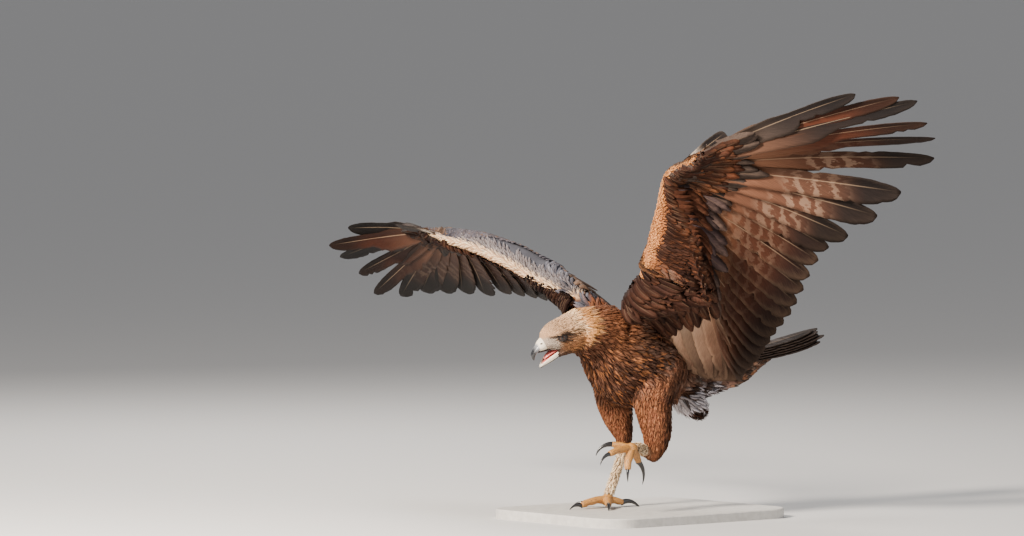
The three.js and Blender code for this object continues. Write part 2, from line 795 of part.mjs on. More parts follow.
// One foot: toes fused to the palm, with its claws as pieces of their own
function foot({ joint }, toes, lift, shank, floor) {
  const flesh = (grow) => {
    const pieces = Object.values(toes).map((run) => toe(joint, run, grow));
    const palm = fromGeometry(new THREE.SphereGeometry(12 + grow, 10, 6)).translate(joint);
    return wasm.Manifold.union([palm, ...pieces]);
  };
  const clearOfFloor = (solid, level) => (floor ? solid.trimByPlane([0, 0, 1], level) : solid);
  const made = { toes: largest(clearOfFloor(flesh(0).subtract(shank(GAP)), SOLE)) };
  for (const [name, run] of Object.entries(toes)) {
    const point = claw(joint, run, CLAWS[name], lift);
    made[`claw_${name}`] = largest(clearOfFloor(point.subtract(flesh(GAP)), SOLE));
  }
  return made;
}

function base() {
  const { length, width, thick, corner, edge } = BASE;
  const [x, y] = [width / 2 - edge, length / 2 - edge];
  const r = corner - edge;
  const outline = new THREE.Shape();
  outline.moveTo(-x + r, -y);
  outline.lineTo(x - r, -y);
  outline.absarc(x - r, -y + r, r, -Math.PI / 2, 0);
  outline.absarc(x - r, y - r, r, 0, Math.PI / 2);
  outline.absarc(-x + r, y - r, r, Math.PI / 2, Math.PI);
  outline.absarc(-x + r, -y + r, r, Math.PI, 1.5 * Math.PI);
  const slab = new THREE.ExtrudeGeometry(outline, {
    depth: thick - edge,
    bevelSize: edge,
    bevelThickness: edge,
    bevelSegments: 1,
    curveSegments: 6,
  });
  return fromGeometry(slab).trimByPlane([0, 0, 1], 0);
}

// The mesh that shows a solid
function meshOf(name, solid, paint) {
  const { numProp, vertProperties, triVerts } = solid.getMesh();
  const points = new Float32Array((vertProperties.length / numProp) * 3);
  for (let i = 0; i < points.length / 3; i++) {
    points.set(vertProperties.subarray(i * numProp, i * numProp + 3), i * 3);
  }
  const geometry = new THREE.BufferGeometry();
  geometry.setAttribute("position", new THREE.BufferAttribute(points, 3));
  geometry.setIndex(new THREE.BufferAttribute(triVerts, 1));
  geometry.computeVertexNormals();
  const [color, roughness] = PAINTS[paint];
  const material = new THREE.MeshStandardMaterial({ color, roughness, metalness: 0 });
  const mesh = new THREE.Mesh(geometry, material);
  mesh.name = name;
  return mesh;
}

const eagle = new THREE.Group();

const headGroup = new THREE.Group();
headGroup.position.set(...HEAD.at);
headGroup.rotation.set(radians(HEAD.pitch), 0, radians(-HEAD.turn), "ZXY");
headGroup.updateMatrix();
const headParts = headPieces();
const HEAD_PAINTS = {
  head: "face",
  cere: "cere",
  bill_upper: "horn",
  bill_lower: "horn",
  tongue: "tongue",
  eye_left: "eye",
  eye_right: "eye",
};
for (const [name, solid] of Object.entries(headParts)) {
  headGroup.add(meshOf(name, solid, HEAD_PAINTS[name]));
}
eagle.add(headGroup);
const headClear = tube(SKULL, { sides: 18, rings: 13, grow: GAP }).transform(
  headGroup.matrix.toArray(),
);

const trunk = (grow) => tube(TRUNK, { sides: 20, rings: 15, grow });
const neck = (grow) => tube(NECK, { sides: 18, rings: 7, grow });
const vent = tube(VENT, { sides: 10, rings: 7 });
const torso = largest(trunk(0).add(vent).subtract(headClear));
const trunkClear = trunk(GAP);
const neckClear = neck(GAP);
const bodyClear = wasm.Manifold.union([trunkClear, neckClear]);
eagle.add(meshOf("torso", torso, "breast"));
eagle.add(meshOf("neck", largest(neck(0).subtract(trunkClear).subtract(headClear)), "hackle"));
eagle.add(meshOf("tail", largest(tail().subtract(trunkClear)), "flight"));

for (const [side, pose] of [["left", LEFT_WING], ["right", RIGHT_WING]]) {
  const { hand, arm } = wing(pose);
  eagle.add(meshOf(`wing_${side}_hand`, hand, "flight"));
  eagle.add(meshOf(`wing_${side}_arm`, largest(arm.subtract(bodyClear)), "flight"));
}

const LEGS = {
  left: { thigh: LEFT_THIGH, shank: LEFT_SHANK, foot: LEFT_FOOT, toes: LEFT_TOES, floor: false },
  right: { thigh: RIGHT_THIGH, shank: RIGHT_SHANK, foot: RIGHT_FOOT, toes: RIGHT_TOES, floor: true },
};
for (const [side, leg] of Object.entries(LEGS)) {
  const thigh = (grow) => tube(leg.thigh, { sides: 14, rings: 11, upward: FORWARD, grow });
  const shank = (grow) =>
    tube(leg.shank, { sides: 10, rings: 7, upward: side === "left" ? UPWARD : FORWARD, grow });
  eagle.add(meshOf(`thigh_${side}`, largest(thigh(0).subtract(trunkClear)), "trouser"));
  eagle.add(meshOf(`shank_${side}`, largest(shank(0).subtract(thigh(GAP))), "shank"));
  const pieces = foot(leg.foot, leg.toes, CLAW_LIFT[side], shank, leg.floor);
  for (const [name, solid] of Object.entries(pieces)) {
    const paint = name === "toes" ? "toe" : "horn";
    eagle.add(meshOf(`${name}_${side}`, solid, paint));
  }
}

eagle.add(meshOf("stand_base", base(), "base"));

export default eagle;
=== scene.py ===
import math

import bmesh
import bpy
import numpy as np
from mathutils import Matrix, Vector
from mathutils.bvhtree import BVHTree


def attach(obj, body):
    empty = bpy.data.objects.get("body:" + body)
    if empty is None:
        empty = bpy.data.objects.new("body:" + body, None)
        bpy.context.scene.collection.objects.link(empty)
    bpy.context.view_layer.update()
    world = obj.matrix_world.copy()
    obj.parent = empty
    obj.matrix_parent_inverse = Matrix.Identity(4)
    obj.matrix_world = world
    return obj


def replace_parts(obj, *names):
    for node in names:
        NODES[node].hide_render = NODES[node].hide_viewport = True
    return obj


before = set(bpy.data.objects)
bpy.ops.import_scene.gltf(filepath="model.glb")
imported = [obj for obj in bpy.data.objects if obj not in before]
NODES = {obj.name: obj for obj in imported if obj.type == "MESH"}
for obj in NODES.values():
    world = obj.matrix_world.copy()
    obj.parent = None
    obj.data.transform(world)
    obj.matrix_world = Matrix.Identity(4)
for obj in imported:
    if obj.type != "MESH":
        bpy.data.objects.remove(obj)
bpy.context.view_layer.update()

MM = 0.001

# Camera: the photo's view from the bird's front left, a little above its feet
VIEW = {"azimuth": 50.0, "elevation": 3.0, "away": 18.0, "pixel": 1.9 * MM}
PHOTO = {"wide": 1024, "tall": 536, "origin": (640.0, 517.5)}

# Head: the point between the eyes, and how far the head is turned
HEAD_AT = (-18, -190, 351)
HEAD_PITCH = 16
HEAD_TURN = -18
EYE = {"out": 24.5, "radius": 9.5}
CERE_ROWS = [
    (0, -24, -5, 12, 14.5, 9.5),
    (0, -28.5, -6, 13.2, 16, 10),
    (0, -37, -7.5, 13.4, 13, 9.5),
    (0, -46, -9.6, 11.6, 7, 6.4),
]
UPPER_BILL_ROWS = [
    (0, -42, -8.4, 12, 9, 7.6),
    (0, -46.4, -9.6, 11.2, 6.6, 6),
    (0, -51.8, -13.2, 9.2, 5.2, 5),
    (0, -56.3, -18, 7, 5, 4.4),
    (0, -58.4, -23.5, 4.2, 3.6, 3.2),
    (0, -58.6, -29, 1.1, 1.2, 1.1),
]
LOWER_BILL_ROWS = [
    (0, -14, -30.5, 13, 4, 7),
    (0, -20.6, -33, 12.6, 3.8, 7),
    (0, -31, -36.6, 11, 3.4, 6.2),
    (0, -41, -40.6, 8, 2.8, 4.2),
    (0, -50.3, -46.4, 1.8, 1, 1.3),
]
LOWER_RIM_ROWS = [
    (12.2, -11, -25.4, 1.3, 2.6, 4),
    (11.7, -20, -28.2, 1.3, 2.6, 4),
    (10.2, -30, -32, 1.2, 2.4, 4),
    (7.2, -41, -37.6, 1.1, 2, 3),
    (1.4, -50, -45, 0.9, 1, 1.2),
]
JAW_ROLL = 13
TONGUE_ROWS = [
    (0, -8, -22, 8, 3, 3),
    (0, -20, -23.6, 8.6, 3, 3),
    (0, -31, -27.6, 6.4, 2.4, 2.4),
    (0, -38, -32, 3, 1.4, 1.4),
]
PALATE_ROWS = [
    (0, -4, -22, 13, 6, 6),
    (0, -12, -20, 12, 5, 4),
    (0, -22, -18.6, 11, 4, 2.4),
    (0, -34, -17.5, 10, 2.5, 1.6),
    (0, -47, -17, 7, 1.2, 1.4),
]
MOUTH_FLOOR_ROWS = [
    (0, -6, -27, 12, 2.6, 2),
    (0, -20, -29.8, 11, 2, 2),
    (0, -33, -34.4, 8, 1.6, 1.6),
    (0, -44, -40.4, 4, 1, 1.2),
]
NOSTRIL = {"at": (13.6, -39.5, -1.5), "long": 3.6, "tall": 1.5, "deep": 3}

# Feet: the joint of the toes, and each toe's run from it
SOLE = 18.3
FEET = {
    "right": {
        "joint": (-45, -44, SOLE + 15),
        "lift": 0.55,
        "toes": {
            "inner": [(0, 0, 0), (17, -12, -2), (33, -25, -7)],
            "middle": [(0, 0, 0), (-2, -24, 0), (-4, -45, -4), (-5, -60, -8)],
            "outer": [(0, 0, 0), (-20, -12, -2), (-38, -25, -7.5)],
            "hind": [(0, 0, 0), (5, 16, -2), (8, 31, -6)],
        },
    },
    "left": {
        "joint": (79, -90, 139),
        "lift": 0.1,
        "toes": {
            "inner": [(0, 0, 0), (-12, -16, 6), (-21, -30, 9)],
            "middle": [(0, 0, 0), (2, -20, 0), (3, -40, -2), (3, -57, -7)],
            "outer": [(0, 0, 0), (9, -11, -11), (15, -21, -24), (18, -24, -37)],
            "hind": [(0, 0, 0), (-1, 12, -12), (-2, 20, -26)],
        },
    },
}
TOE = {"root": 9, "tip": 6.2, "flat": 0.86, "palm": 12}
CLAWS = {
    "inner": {"long": 44, "radius": 5.4, "turn": 88},
    "middle": {"long": 35, "radius": 4.6, "turn": 78},
    "outer": {"long": 28, "radius": 4.2, "turn": 78},
    "hind": {"long": 52, "radius": 5.8, "turn": 92},
}

# Wings: feathers are numbered from the outermost primary inwards
PRIMARIES = 10
SECONDARIES = 13
TERTIALS = 5
WRIST = PRIMARIES - 0.5
ELBOW = WRIST + SECONDARIES
INNERMOST = PRIMARIES + SECONDARIES + TERTIALS - 1
CAMBER = 12
CLEARANCE = {1: 1.5, -1: 4.0}
FOLD = {1: 0.5, -1: 4.5}
SHINGLE_TILT = 0.14
# Feather number, place along the front edge, thickness, and how much fuller the upper side is
ARM_SECTIONS = [
    (0.2, 0, 8, 0),
    (4.5, 1, 15, 1),
    (WRIST, 2, 24, 6),
    (WRIST + 4.4, 3, 30, 15),
    (WRIST + 8.8, 4, 36, 17),
    (ELBOW, 5, 42, 10),
    (ELBOW + 3.2, 5.6, 48, 4),
]
WINGS = {
    "left": {
        "side": 1,
        "shoulder": (64, -84, 392),
        "elbow": (240, -40, 443),
        "wrist": (217, -103, 658),
        "hand_tip": (324, -108, 712),
        "front": [
            (320, -112, 711),
            (266, -116, 686),
            (212, -122, 663),
            (180, -113, 602),
            (141, -92, 540),
            (103, -82, 486),
            (70, -94, 424),
        ],
        "fan": [
            (0, 0.943, 0.131, 0.305, 375),
            (1, 0.951, 0.186, 0.248, 465),
            (2, 0.955, 0.194, 0.224, 511),
            (3, 0.958, 0.242, 0.152, 518),
            (4, 0.926, 0.361, 0.107, 504),
            (5, 0.861, 0.506, 0.04, 476),
            (6, 0.836, 0.54, -0.098, 416),
            (7, 0.787, 0.578, -0.214, 379),
            (8, 0.707, 0.618, -0.343, 338),
            (9, 0.611, 0.668, -0.425, 316),
            (11, 0.388, 0.744, -0.543, 303),
            (13, 0.183, 0.77, -0.611, 305),
            (16, -0.091, 0.765, -0.637, 310),
            (19, -0.25, 0.722, -0.645, 305),
            (22, -0.39, 0.666, -0.636, 286),
            (24, -0.338, 0.657, -0.674, 252),
            (26, -0.228, 0.7, -0.677, 207),
            (28, -0.054, 0.796, -0.603, 160),
        ],
    },
    "right": {
        "side": -1,
        "shoulder": (-64, -84, 392),
        "elbow": (-210, -32, 464),
        "wrist": (-392, -139, 521),
        "hand_tip": (-507, -114, 530),
        "front": [
            (-497, -116, 530),
            (-447, -138, 528),
            (-391, -156, 524),
            (-325, -137, 509),
            (-256, -118, 484),
            (-190, -100, 454),
            (-84, -94, 424),
        ],
        "fan": [
            (0, -0.958, 0.286, -0.028, 391),
            (1, -0.959, 0.266, -0.099, 483),
            (2, -0.934, 0.33, -0.136, 530),
            (3, -0.902, 0.387, -0.192, 538),
            (4, -0.871, 0.409, -0.271, 517),
            (5, -0.826, 0.48, -0.295, 485),
            (6, -0.791, 0.536, -0.297, 436),
            (7, -0.743, 0.588, -0.32, 388),
            (8, -0.672, 0.657, -0.342, 358),
            (9, -0.569, 0.732, -0.375, 332),
            (10, -0.494, 0.787, -0.37, 321),
            (12, -0.422, 0.828, -0.37, 312),
            (14, -0.377, 0.846, -0.377, 304),
            (16, -0.309, 0.861, -0.404, 298),
            (19, -0.236, 0.869, -0.435, 290),
            (22, -0.139, 0.865, -0.482, 275),
            (26, -0.13, 0.903, -0.41, 212),
            (28, -0.175, 0.928, -0.328, 170),
        ],
    },
}

# Rows of coverts on each face of a wing, from the long ones at the back to the front edge.
# start and long are millimetres behind the roots of the flight feathers, on is how much further
# back a row starts on the hand, and gap is between feathers.
LESSER = {
    "rows": 12,
    "long": 58,
    "shorter": 3.1,
    "wide": 17,
    "narrower": 0.7,
    "gap": 9.0,
    "closer": 0.3,
    "closest": 9,
    "edge": 19,
}


def lesser_rows(first, on, lift):
    return [
        {
            "start": first,
            "on": on,
            "index": i,
            "long": LESSER["long"] - LESSER["shorter"] * i,
            "wide": LESSER["wide"] - LESSER["narrower"] * i,
            "gap": LESSER["gap"] - LESSER["closer"] * i,
            "lift": (1.0, lift),
            "kind": "lesser",
        }
        for i in range(LESSER["rows"])
    ]


COVERT_ROWS = {
    "upper": [
        {"start": -14, "share": 0.44, "wide": 27, "gap": 14, "lift": (1, 3), "kind": "greater", "on": 0},
        {"start": -26, "share": 0.27, "wide": 22, "gap": 12, "lift": (1.5, 4), "kind": "median", "on": 10},
        *lesser_rows(-30, 20, 2.6),
    ],
    "under": [
        {"start": -12, "share": 0.38, "wide": 27, "gap": 12, "lift": (1, 3), "kind": "greater", "on": 0},
        {"start": -22, "share": 0.27, "wide": 22, "gap": 10, "lift": (1.5, 4.5), "kind": "median", "on": 12},
        {"start": -8, "long": 66, "wide": 18, "gap": 9.5, "lift": (2, 5.5), "kind": "lesser", "on": 32},
        *lesser_rows(-16, 34, 4.6),
    ],
}
AXILLARS = [
    {"start": -24, "long": 104, "wide": 24, "gap": 9, "lift": (3, 8), "kind": "axillar", "from": 3},
    {"start": -52, "long": 92, "wide": 22, "gap": 9, "lift": (3, 9), "kind": "axillar", "from": 2},
    {"start": -78, "long": 78, "wide": 19, "gap": 8, "lift": (3, 9), "kind": "axillar", "from": 1},
    {"start": -100, "long": 62, "wide": 16, "gap": 8, "lift": (3, 8), "kind": "axillar", "from": 1},
]
ALULA = {"count": 3, "long": 132, "lead": 10, "trail": 22}
MARGIN = {"reach": {"left": 23, "right": 21}, "spacing": 3.1, "long": 14, "half": 2.6, "lift": 1.9}

# Tail: a slightly opened fan
TAIL = {
    "root": (0, 158, 283),
    "rise": 10,
    "roll": 3,
    "long": 300,
    "spread": 6.5,
    "pairs": 6,
    "half": 24,
    "step": 1.6,
}

# Colours, linear
CREAM = (0.6, 0.38, 0.2)
BUFF = (0.4, 0.235, 0.13)
GOLD = (0.5, 0.24, 0.085)
TAN = (0.27, 0.125, 0.06)
CHEEK = (0.24, 0.105, 0.05)
LORE_GREY = (0.34, 0.27, 0.21)
THROAT = (0.045, 0.021, 0.015)
RUFOUS = (0.16, 0.05, 0.02)
ORANGE = (0.42, 0.165, 0.068)
UMBER = (0.04, 0.016, 0.009)
CHOCOLATE = (0.03, 0.012, 0.008)
DARK = (0.014, 0.0065, 0.005)
CINNAMON = (0.19, 0.066, 0.034)
ASH_BROWN = (0.085, 0.056, 0.045)
# Bluish greys: a painted reflection of the sky on the right wing's upper side; the darker one also greys the
# under greater coverts a little
SLATE_AND_SKY_SHEEN = (0.062, 0.062, 0.078)
PALE_SKY_SHEEN = (0.17, 0.17, 0.2)
MANTLE = (0.05, 0.026, 0.016)
GREY_BROWN = (0.13, 0.085, 0.062)
TAIL_DARK = (0.016, 0.0105, 0.0085)
SMOKE = (0.42, 0.38, 0.39)
LEG_CREAM = (0.6, 0.43, 0.27)
EDGE_PALE = (0.42, 0.28, 0.18)

# Undersides of the flight feathers by number: root, web, tip, and how strongly they are mottled
UNDER_LOOKS = [
    (0, (0.06, 0.042, 0.034), (0.018, 0.0135, 0.0125), (0.01, 0.008, 0.008), 0),
    (1, (0.13, 0.056, 0.033), (0.062, 0.019, 0.01), (0.022, 0.009, 0.006), 0),
    (2, (0.115, 0.055, 0.034), (0.016, 0.011, 0.01), (0.01, 0.008, 0.008), 0),
    (3, (0.15, 0.068, 0.039), (0.055, 0.017, 0.009), (0.02, 0.009, 0.006), 0),
    (4, (0.18, 0.082, 0.047), (0.046, 0.015, 0.008), (0.017, 0.009, 0.007), 0.05),
    (5, (0.2, 0.092, 0.053), (0.055, 0.022, 0.013), (0.013, 0.009, 0.008), 0.25),
    (6, (0.16, 0.07, 0.041), (0.075, 0.034, 0.021), (0.012, 0.0085, 0.008), 0.27),
    (8, (0.16, 0.07, 0.041), (0.08, 0.034, 0.021), (0.014, 0.0095, 0.008), 0.27),
    (10, (0.22, 0.098, 0.054), (0.05, 0.018, 0.01), (0.016, 0.008, 0.0065), 0.12),
    (13, (0.26, 0.11, 0.053), (0.034, 0.0115, 0.0065), (0.012, 0.006, 0.005), 0.05),
    (18, (0.3, 0.13, 0.064), (0.036, 0.0125, 0.007), (0.012, 0.006, 0.005), 0.03),
    (22, (0.42, 0.22, 0.125), (0.11, 0.043, 0.024), (0.03, 0.0145, 0.01), 0.05),
    (25, (0.74, 0.54, 0.4), (0.44, 0.27, 0.18), (0.1, 0.055, 0.038), 0.08),
    (28, (0.74, 0.5, 0.35), (0.4, 0.22, 0.135), (0.09, 0.045, 0.03), 0.08),
]


# Small helpers
def mix(a, b, share):
    return np.asarray(a, float) * (1 - share) + np.asarray(b, float) * share


def ramp(low, high, value):
    share = np.clip((np.asarray(value, float) - low) / (high - low), 0, 1)
    return share * share * (3 - 2 * share)


def unit(vectors):
    length = np.linalg.norm(vectors, axis=-1, keepdims=True)
    return vectors / np.maximum(length, 1e-12)


def along(rows, t):
    rows = np.asarray(rows, float)
    last = len(rows) - 1
    i = int(min(max(math.floor(t), 0), last - 1))
    f = t - i
    a, b, c, d = (rows[min(max(j, 0), last)] for j in (i - 1, i, i + 1, i + 2))
    return b + 0.5 * f * (c - a + f * (2 * a - 5 * b + 4 * c - d + f * (3 * (b - c) + d - a)))


def link(name, mesh, material, smooth=True):
    piece = bpy.data.objects.new(name, mesh)
    bpy.context.scene.collection.objects.link(piece)
    if smooth:
        mesh.polygons.foreach_set("use_smooth", [True] * len(mesh.polygons))
    mesh.materials.clear()
    mesh.materials.append(material)
    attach(piece, "root")
    return piece


# Rings of points round rows of middle point, half width, height above and depth below
def tube_rings(rows, sides, rings, across=(1, 0, 0), upward=(0, 0, 1)):
    samples = [along(rows, i / (rings - 1) * (len(rows) - 1)) for i in range(rings)]
    middles = [Vector(s[:3]) for s in samples]
    made = []
    for i, sample in enumerate(samples):
        ahead = (middles[min(i + 1, rings - 1)] - middles[max(i - 1, 0)]).normalized()
        side = Vector(across) - ahead * Vector(across).dot(ahead)
        side.normalize()
        up = ahead.cross(side)
        if up.dot(Vector(upward)) < 0:
            up.negate()
        wide, tall, deep = sample[3:6]
        ring = []
        for s in range(sides):
            turn = 2 * math.pi * s / sides
            height = tall if math.sin(turn) > 0 else deep
            ring.append(
                middles[i] + side * math.cos(turn) * wide + up * math.sin(turn) * height
            )
        made.append(ring)
    return made


# A closed form bridged from ring to ring, in metres, added to a shape that is being built
def add_loft(shape, rings, place=Matrix.Identity(4)):
    loops = []
    for ring in rings:
        verts = [shape.verts.new(place @ (Vector(p) * MM)) for p in ring]
        ends = verts[1:] + verts[:1]
        loops.append([shape.edges.new(pair) for pair in zip(verts, ends)])
    for one, other in zip(loops, loops[1:]):
        bmesh.ops.bridge_loops(shape, edges=one + other)
    for end in (loops[0], loops[-1]):
        cap = bmesh.ops.contextual_create(shape, geom=end)["faces"]
        bmesh.ops.poke(shape, faces=cap)


def close_shape(shape, name):
    bmesh.ops.recalc_face_normals(shape, faces=shape.faces)
    mesh = bpy.data.meshes.new(name)
    shape.to_mesh(mesh)
    shape.free()
    return mesh


def lofted(name, forms, place=Matrix.Identity(4)):
    shape = bmesh.new()
    for rings in forms:
        add_loft(shape, rings, place)
    return close_shape(shape, name)


# Where the head's own frame lies
HEAD_PLACE = (
    Matrix.Translation(Vector(HEAD_AT) * MM)
    @ Matrix.Rotation(math.radians(HEAD_TURN), 4, "Z")
    @ Matrix.Rotation(math.radians(HEAD_PITCH), 4, "X")
)
HEAD_BACK = np.array(HEAD_PLACE.inverted())


def in_head(points):
    flat = np.asarray(points, float) * MM
    return (flat @ HEAD_BACK[:3, :3].T + HEAD_BACK[:3, 3]) / MM


# Node groups
def socketed(name, inputs, outputs):
    group = bpy.data.node_groups.new(name, "ShaderNodeTree")
    for label, kind, default in inputs:
        socket = group.interface.new_socket(name=label, in_out="INPUT", socket_type=kind)
        socket.default_value = default
    for label, kind in outputs:
        group.interface.new_socket(name=label, in_out="OUTPUT", socket_type=kind)
    group.nodes.new("NodeGroupInput").name = "In"
    group.nodes.new("NodeGroupOutput").name = "Out"
    return group


def wire(tree, source, target):
    tree.links.new(source, target)


def sums(tree, operation, *values, clamp=False):
    node = tree.nodes.new("ShaderNodeMath")
    node.operation = operation
    node.use_clamp = clamp
    for socket, value in zip(node.inputs, values):
        if isinstance(value, (int, float)):
            socket.default_value = value
        else:
            wire(tree, value, socket)
    return node.outputs[0]


def stepped(tree, value, low, high, to_low=0.0, to_high=1.0):
    node = tree.nodes.new("ShaderNodeMapRange")
    node.interpolation_type = "SMOOTHSTEP"
    wire(tree, value, node.inputs["Value"])
    node.inputs["From Min"].default_value = low
    node.inputs["From Max"].default_value = high
    node.inputs["To Min"].default_value = to_low
    node.inputs["To Max"].default_value = to_high
    return node.outputs["Result"]


def blended(tree, share, one, other, mode="MIX"):
    node = tree.nodes.new("ShaderNodeMix")
    node.data_type = "RGBA"
    node.blend_type = mode
    sockets = {"share": node.inputs[0], "one": node.inputs[6], "other": node.inputs[7]}
    for name, value in (("share", share), ("one", one), ("other", other)):
        if isinstance(value, (int, float)):
            sockets[name].default_value = value
        elif isinstance(value, tuple):
            sockets[name].default_value = (*value, 1.0) if len(value) == 3 else value
        else:
            wire(tree, value, sockets[name])
    return node.outputs[2]


def noise(tree, vector, scale, detail=2.0, rough=0.5):
    node = tree.nodes.new("ShaderNodeTexNoise")
    node.inputs["Scale"].default_value = scale
    node.inputs["Detail"].default_value = detail
    node.inputs["Roughness"].default_value = rough
    if vector is not None:
        wire(tree, vector, node.inputs["Vector"])
    return node.outputs["Fac"]


def attribute(tree, name, output="Color"):
    node = tree.nodes.new("ShaderNodeAttribute")
    node.attribute_name = name
    return node.outputs[output]


# The web of a vane: barbs slanting from the shaft, a tip of another colour
# and the shaft itself. The map named Vane runs 0 to 1 across a vane and 0 to 1 along it.
def vane_group():
    group = socketed(
        "vane_web",
        [
            ("Web", "NodeSocketColor", (0.1, 0.05, 0.03, 1)),
            ("Tip", "NodeSocketColor", (0.2, 0.1, 0.05, 1)),
            ("Shaft", "NodeSocketColor", (0.2, 0.12, 0.07, 1)),
            ("Tip start", "NodeSocketFloat", 0.6),
            ("Shaft width", "NodeSocketFloat", 0.08),
            ("Barb count", "NodeSocketFloat", 60.0),
            ("Streaks", "NodeSocketFloat", 0.35),
        ],
        [("Color", "NodeSocketColor"), ("Height", "NodeSocketFloat")],
    )
    given = group.nodes["In"].outputs
    uv = group.nodes.new("ShaderNodeUVMap")
    uv.uv_map = "Vane"
    split = group.nodes.new("ShaderNodeSeparateXYZ")
    wire(group, uv.outputs[0], split.inputs[0])
    across, down = split.outputs[0], split.outputs[1]
    offset = sums(group, "ABSOLUTE", sums(group, "SUBTRACT", across, 0.5))
    away = sums(group, "MULTIPLY", offset, 2.0)
    slant = sums(group, "SUBTRACT", down, sums(group, "MULTIPLY", away, 0.16))
    barb = sums(group, "MULTIPLY", slant, given["Barb count"])
    wave = sums(group, "SINE", sums(group, "MULTIPLY", barb, 6.2832))
    place = group.nodes.new("ShaderNodeCombineXYZ")
    wire(group, sums(group, "MULTIPLY", away, 0.9), place.inputs[0])
    wire(group, sums(group, "MULTIPLY", barb, 0.35), place.inputs[1])
    wire(group, attribute(group, "Chance", "Fac"), place.inputs[2])
    streak = noise(group, place.outputs[0], 3.0, 2.0, 0.6)
    wander = sums(group, "MULTIPLY", sums(group, "SUBTRACT", streak, 0.5), 0.3)
    curve = sums(group, "MULTIPLY", sums(group, "POWER", away, 2.0), 0.22)
    tip_edge = sums(group, "ADD", sums(group, "ADD", down, curve), wander)
    share = group.nodes.new("ShaderNodeMapRange")
    share.interpolation_type = "SMOOTHSTEP"
    wire(group, tip_edge, share.inputs["Value"])
    wire(group, given["Tip start"], share.inputs["From Min"])
    share.inputs["From Max"].default_value = 1.05
    web = blended(group, share.outputs["Result"], given["Web"], given["Tip"])
    change = sums(group, "MULTIPLY", sums(group, "SUBTRACT", streak, 0.5), given["Streaks"])
    lightness = sums(group, "ADD", sums(group, "MULTIPLY", change, 3.2), 1.0)
    shade = group.nodes.new("ShaderNodeCombineColor")
    for socket in shade.inputs[:3]:
        wire(group, lightness, socket)
    web = blended(group, 1.0, web, shade.outputs[0], "MULTIPLY")
    narrow = sums(group, "DIVIDE", away, given["Shaft width"])
    on_shaft = stepped(group, narrow, 0.5, 1.0, 1.0, 0.0)
    fade = stepped(group, down, 0.7, 1.0, 1.0, 0.0)
    on_shaft = sums(group, "MULTIPLY", on_shaft, fade)
    colour = blended(group, on_shaft, web, given["Shaft"])
    ribs = sums(group, "MULTIPLY", wave, 0.25)
    height = sums(group, "ADD", ribs, sums(group, "MULTIPLY", on_shaft, 1.2))
    wire(group, colour, group.nodes["Out"].inputs["Color"])
    wire(group, height, group.nodes["Out"].inputs["Height"])
    return group


# Broken bars across a large feather: an even wave along the shaft that wanders and frays
def bars_group():
    group = socketed(
        "feather_bars",
        [("Count", "NodeSocketFloat", 7.0)],
        [("Mask", "NodeSocketFloat")],
    )
    given = group.nodes["In"].outputs
    uv = group.nodes.new("ShaderNodeUVMap")
    uv.uv_map = "Vane"
    split = group.nodes.new("ShaderNodeSeparateXYZ")
    wire(group, uv.outputs[0], split.inputs[0])
    across, down = split.outputs[0], split.outputs[1]
    shift = sums(group, "MULTIPLY", attribute(group, "Chance", "Fac"), 5.0)
    run = sums(group, "ADD", sums(group, "MULTIPLY", down, given["Count"]), shift)
    place = group.nodes.new("ShaderNodeCombineXYZ")
    wire(group, sums(group, "MULTIPLY", across, 2.6), place.inputs[0])
    wire(group, sums(group, "MULTIPLY", run, 0.8), place.inputs[1])
    wire(group, sums(group, "MULTIPLY", attribute(group, "Chance", "Fac"), 40.0), place.inputs[2])
    wander = noise(group, place.outputs[0], 1.5, 3.0, 0.6)
    fray = noise(group, place.outputs[0], 7.0, 2.0, 0.7)
    bend = sums(group, "MULTIPLY", sums(group, "SUBTRACT", wander, 0.5), 1.9)
    wave = sums(group, "SINE", sums(group, "MULTIPLY", sums(group, "ADD", run, bend), 6.2832))
    rough = sums(group, "MULTIPLY", sums(group, "SUBTRACT", fray, 0.5), 2.4)
    mask = stepped(group, sums(group, "ADD", wave, rough), -0.1, 0.7)
    wire(group, mask, group.nodes["Out"].inputs["Mask"])
    return group


# Fine grain for skin, horn and paint
def grain_group():
    group = socketed(
        "fine_grain",
        [("Scale", "NodeSocketFloat", 300.0), ("Depth", "NodeSocketFloat", 0.3)],
        [("Shade", "NodeSocketFloat"), ("Height", "NodeSocketFloat")],
    )
    given = group.nodes["In"].outputs
    where = group.nodes.new("ShaderNodeTexCoord")
    broad = group.nodes.new("ShaderNodeTexNoise")
    fine = group.nodes.new("ShaderNodeTexNoise")
    for node, share in ((broad, 0.12), (fine, 1.0)):
        wire(group, where.outputs["Object"], node.inputs["Vector"])
        wire(group, sums(group, "MULTIPLY", given["Scale"], share), node.inputs["Scale"])
        node.inputs["Detail"].default_value = 3.0
    shade = sums(group, "ADD", sums(group, "MULTIPLY", broad.outputs["Fac"], 0.5), 0.75)
    height = sums(group, "MULTIPLY", fine.outputs["Fac"], given["Depth"])
    wire(group, shade, group.nodes["Out"].inputs["Shade"])
    wire(group, height, group.nodes["Out"].inputs["Height"])
    return group


VANE_WEB = vane_group()
FEATHER_BARS = bars_group()
FINE_GRAIN = grain_group()


# Materials
def material(name, rough, sheen=0.0, coat=0.0, specular=0.5):
    made = bpy.data.materials.new(name)
    made.use_nodes = True
    shader = made.node_tree.nodes["Principled BSDF"]
    shader.inputs["Roughness"].default_value = rough
    shader.inputs["Specular IOR Level"].default_value = specular
    shader.inputs["Sheen Weight"].default_value = sheen
    shader.inputs["Sheen Roughness"].default_value = 0.45
    shader.inputs["Coat Weight"].default_value = coat
    shader.inputs["Coat Roughness"].default_value = 0.08
    return made, made.node_tree, shader


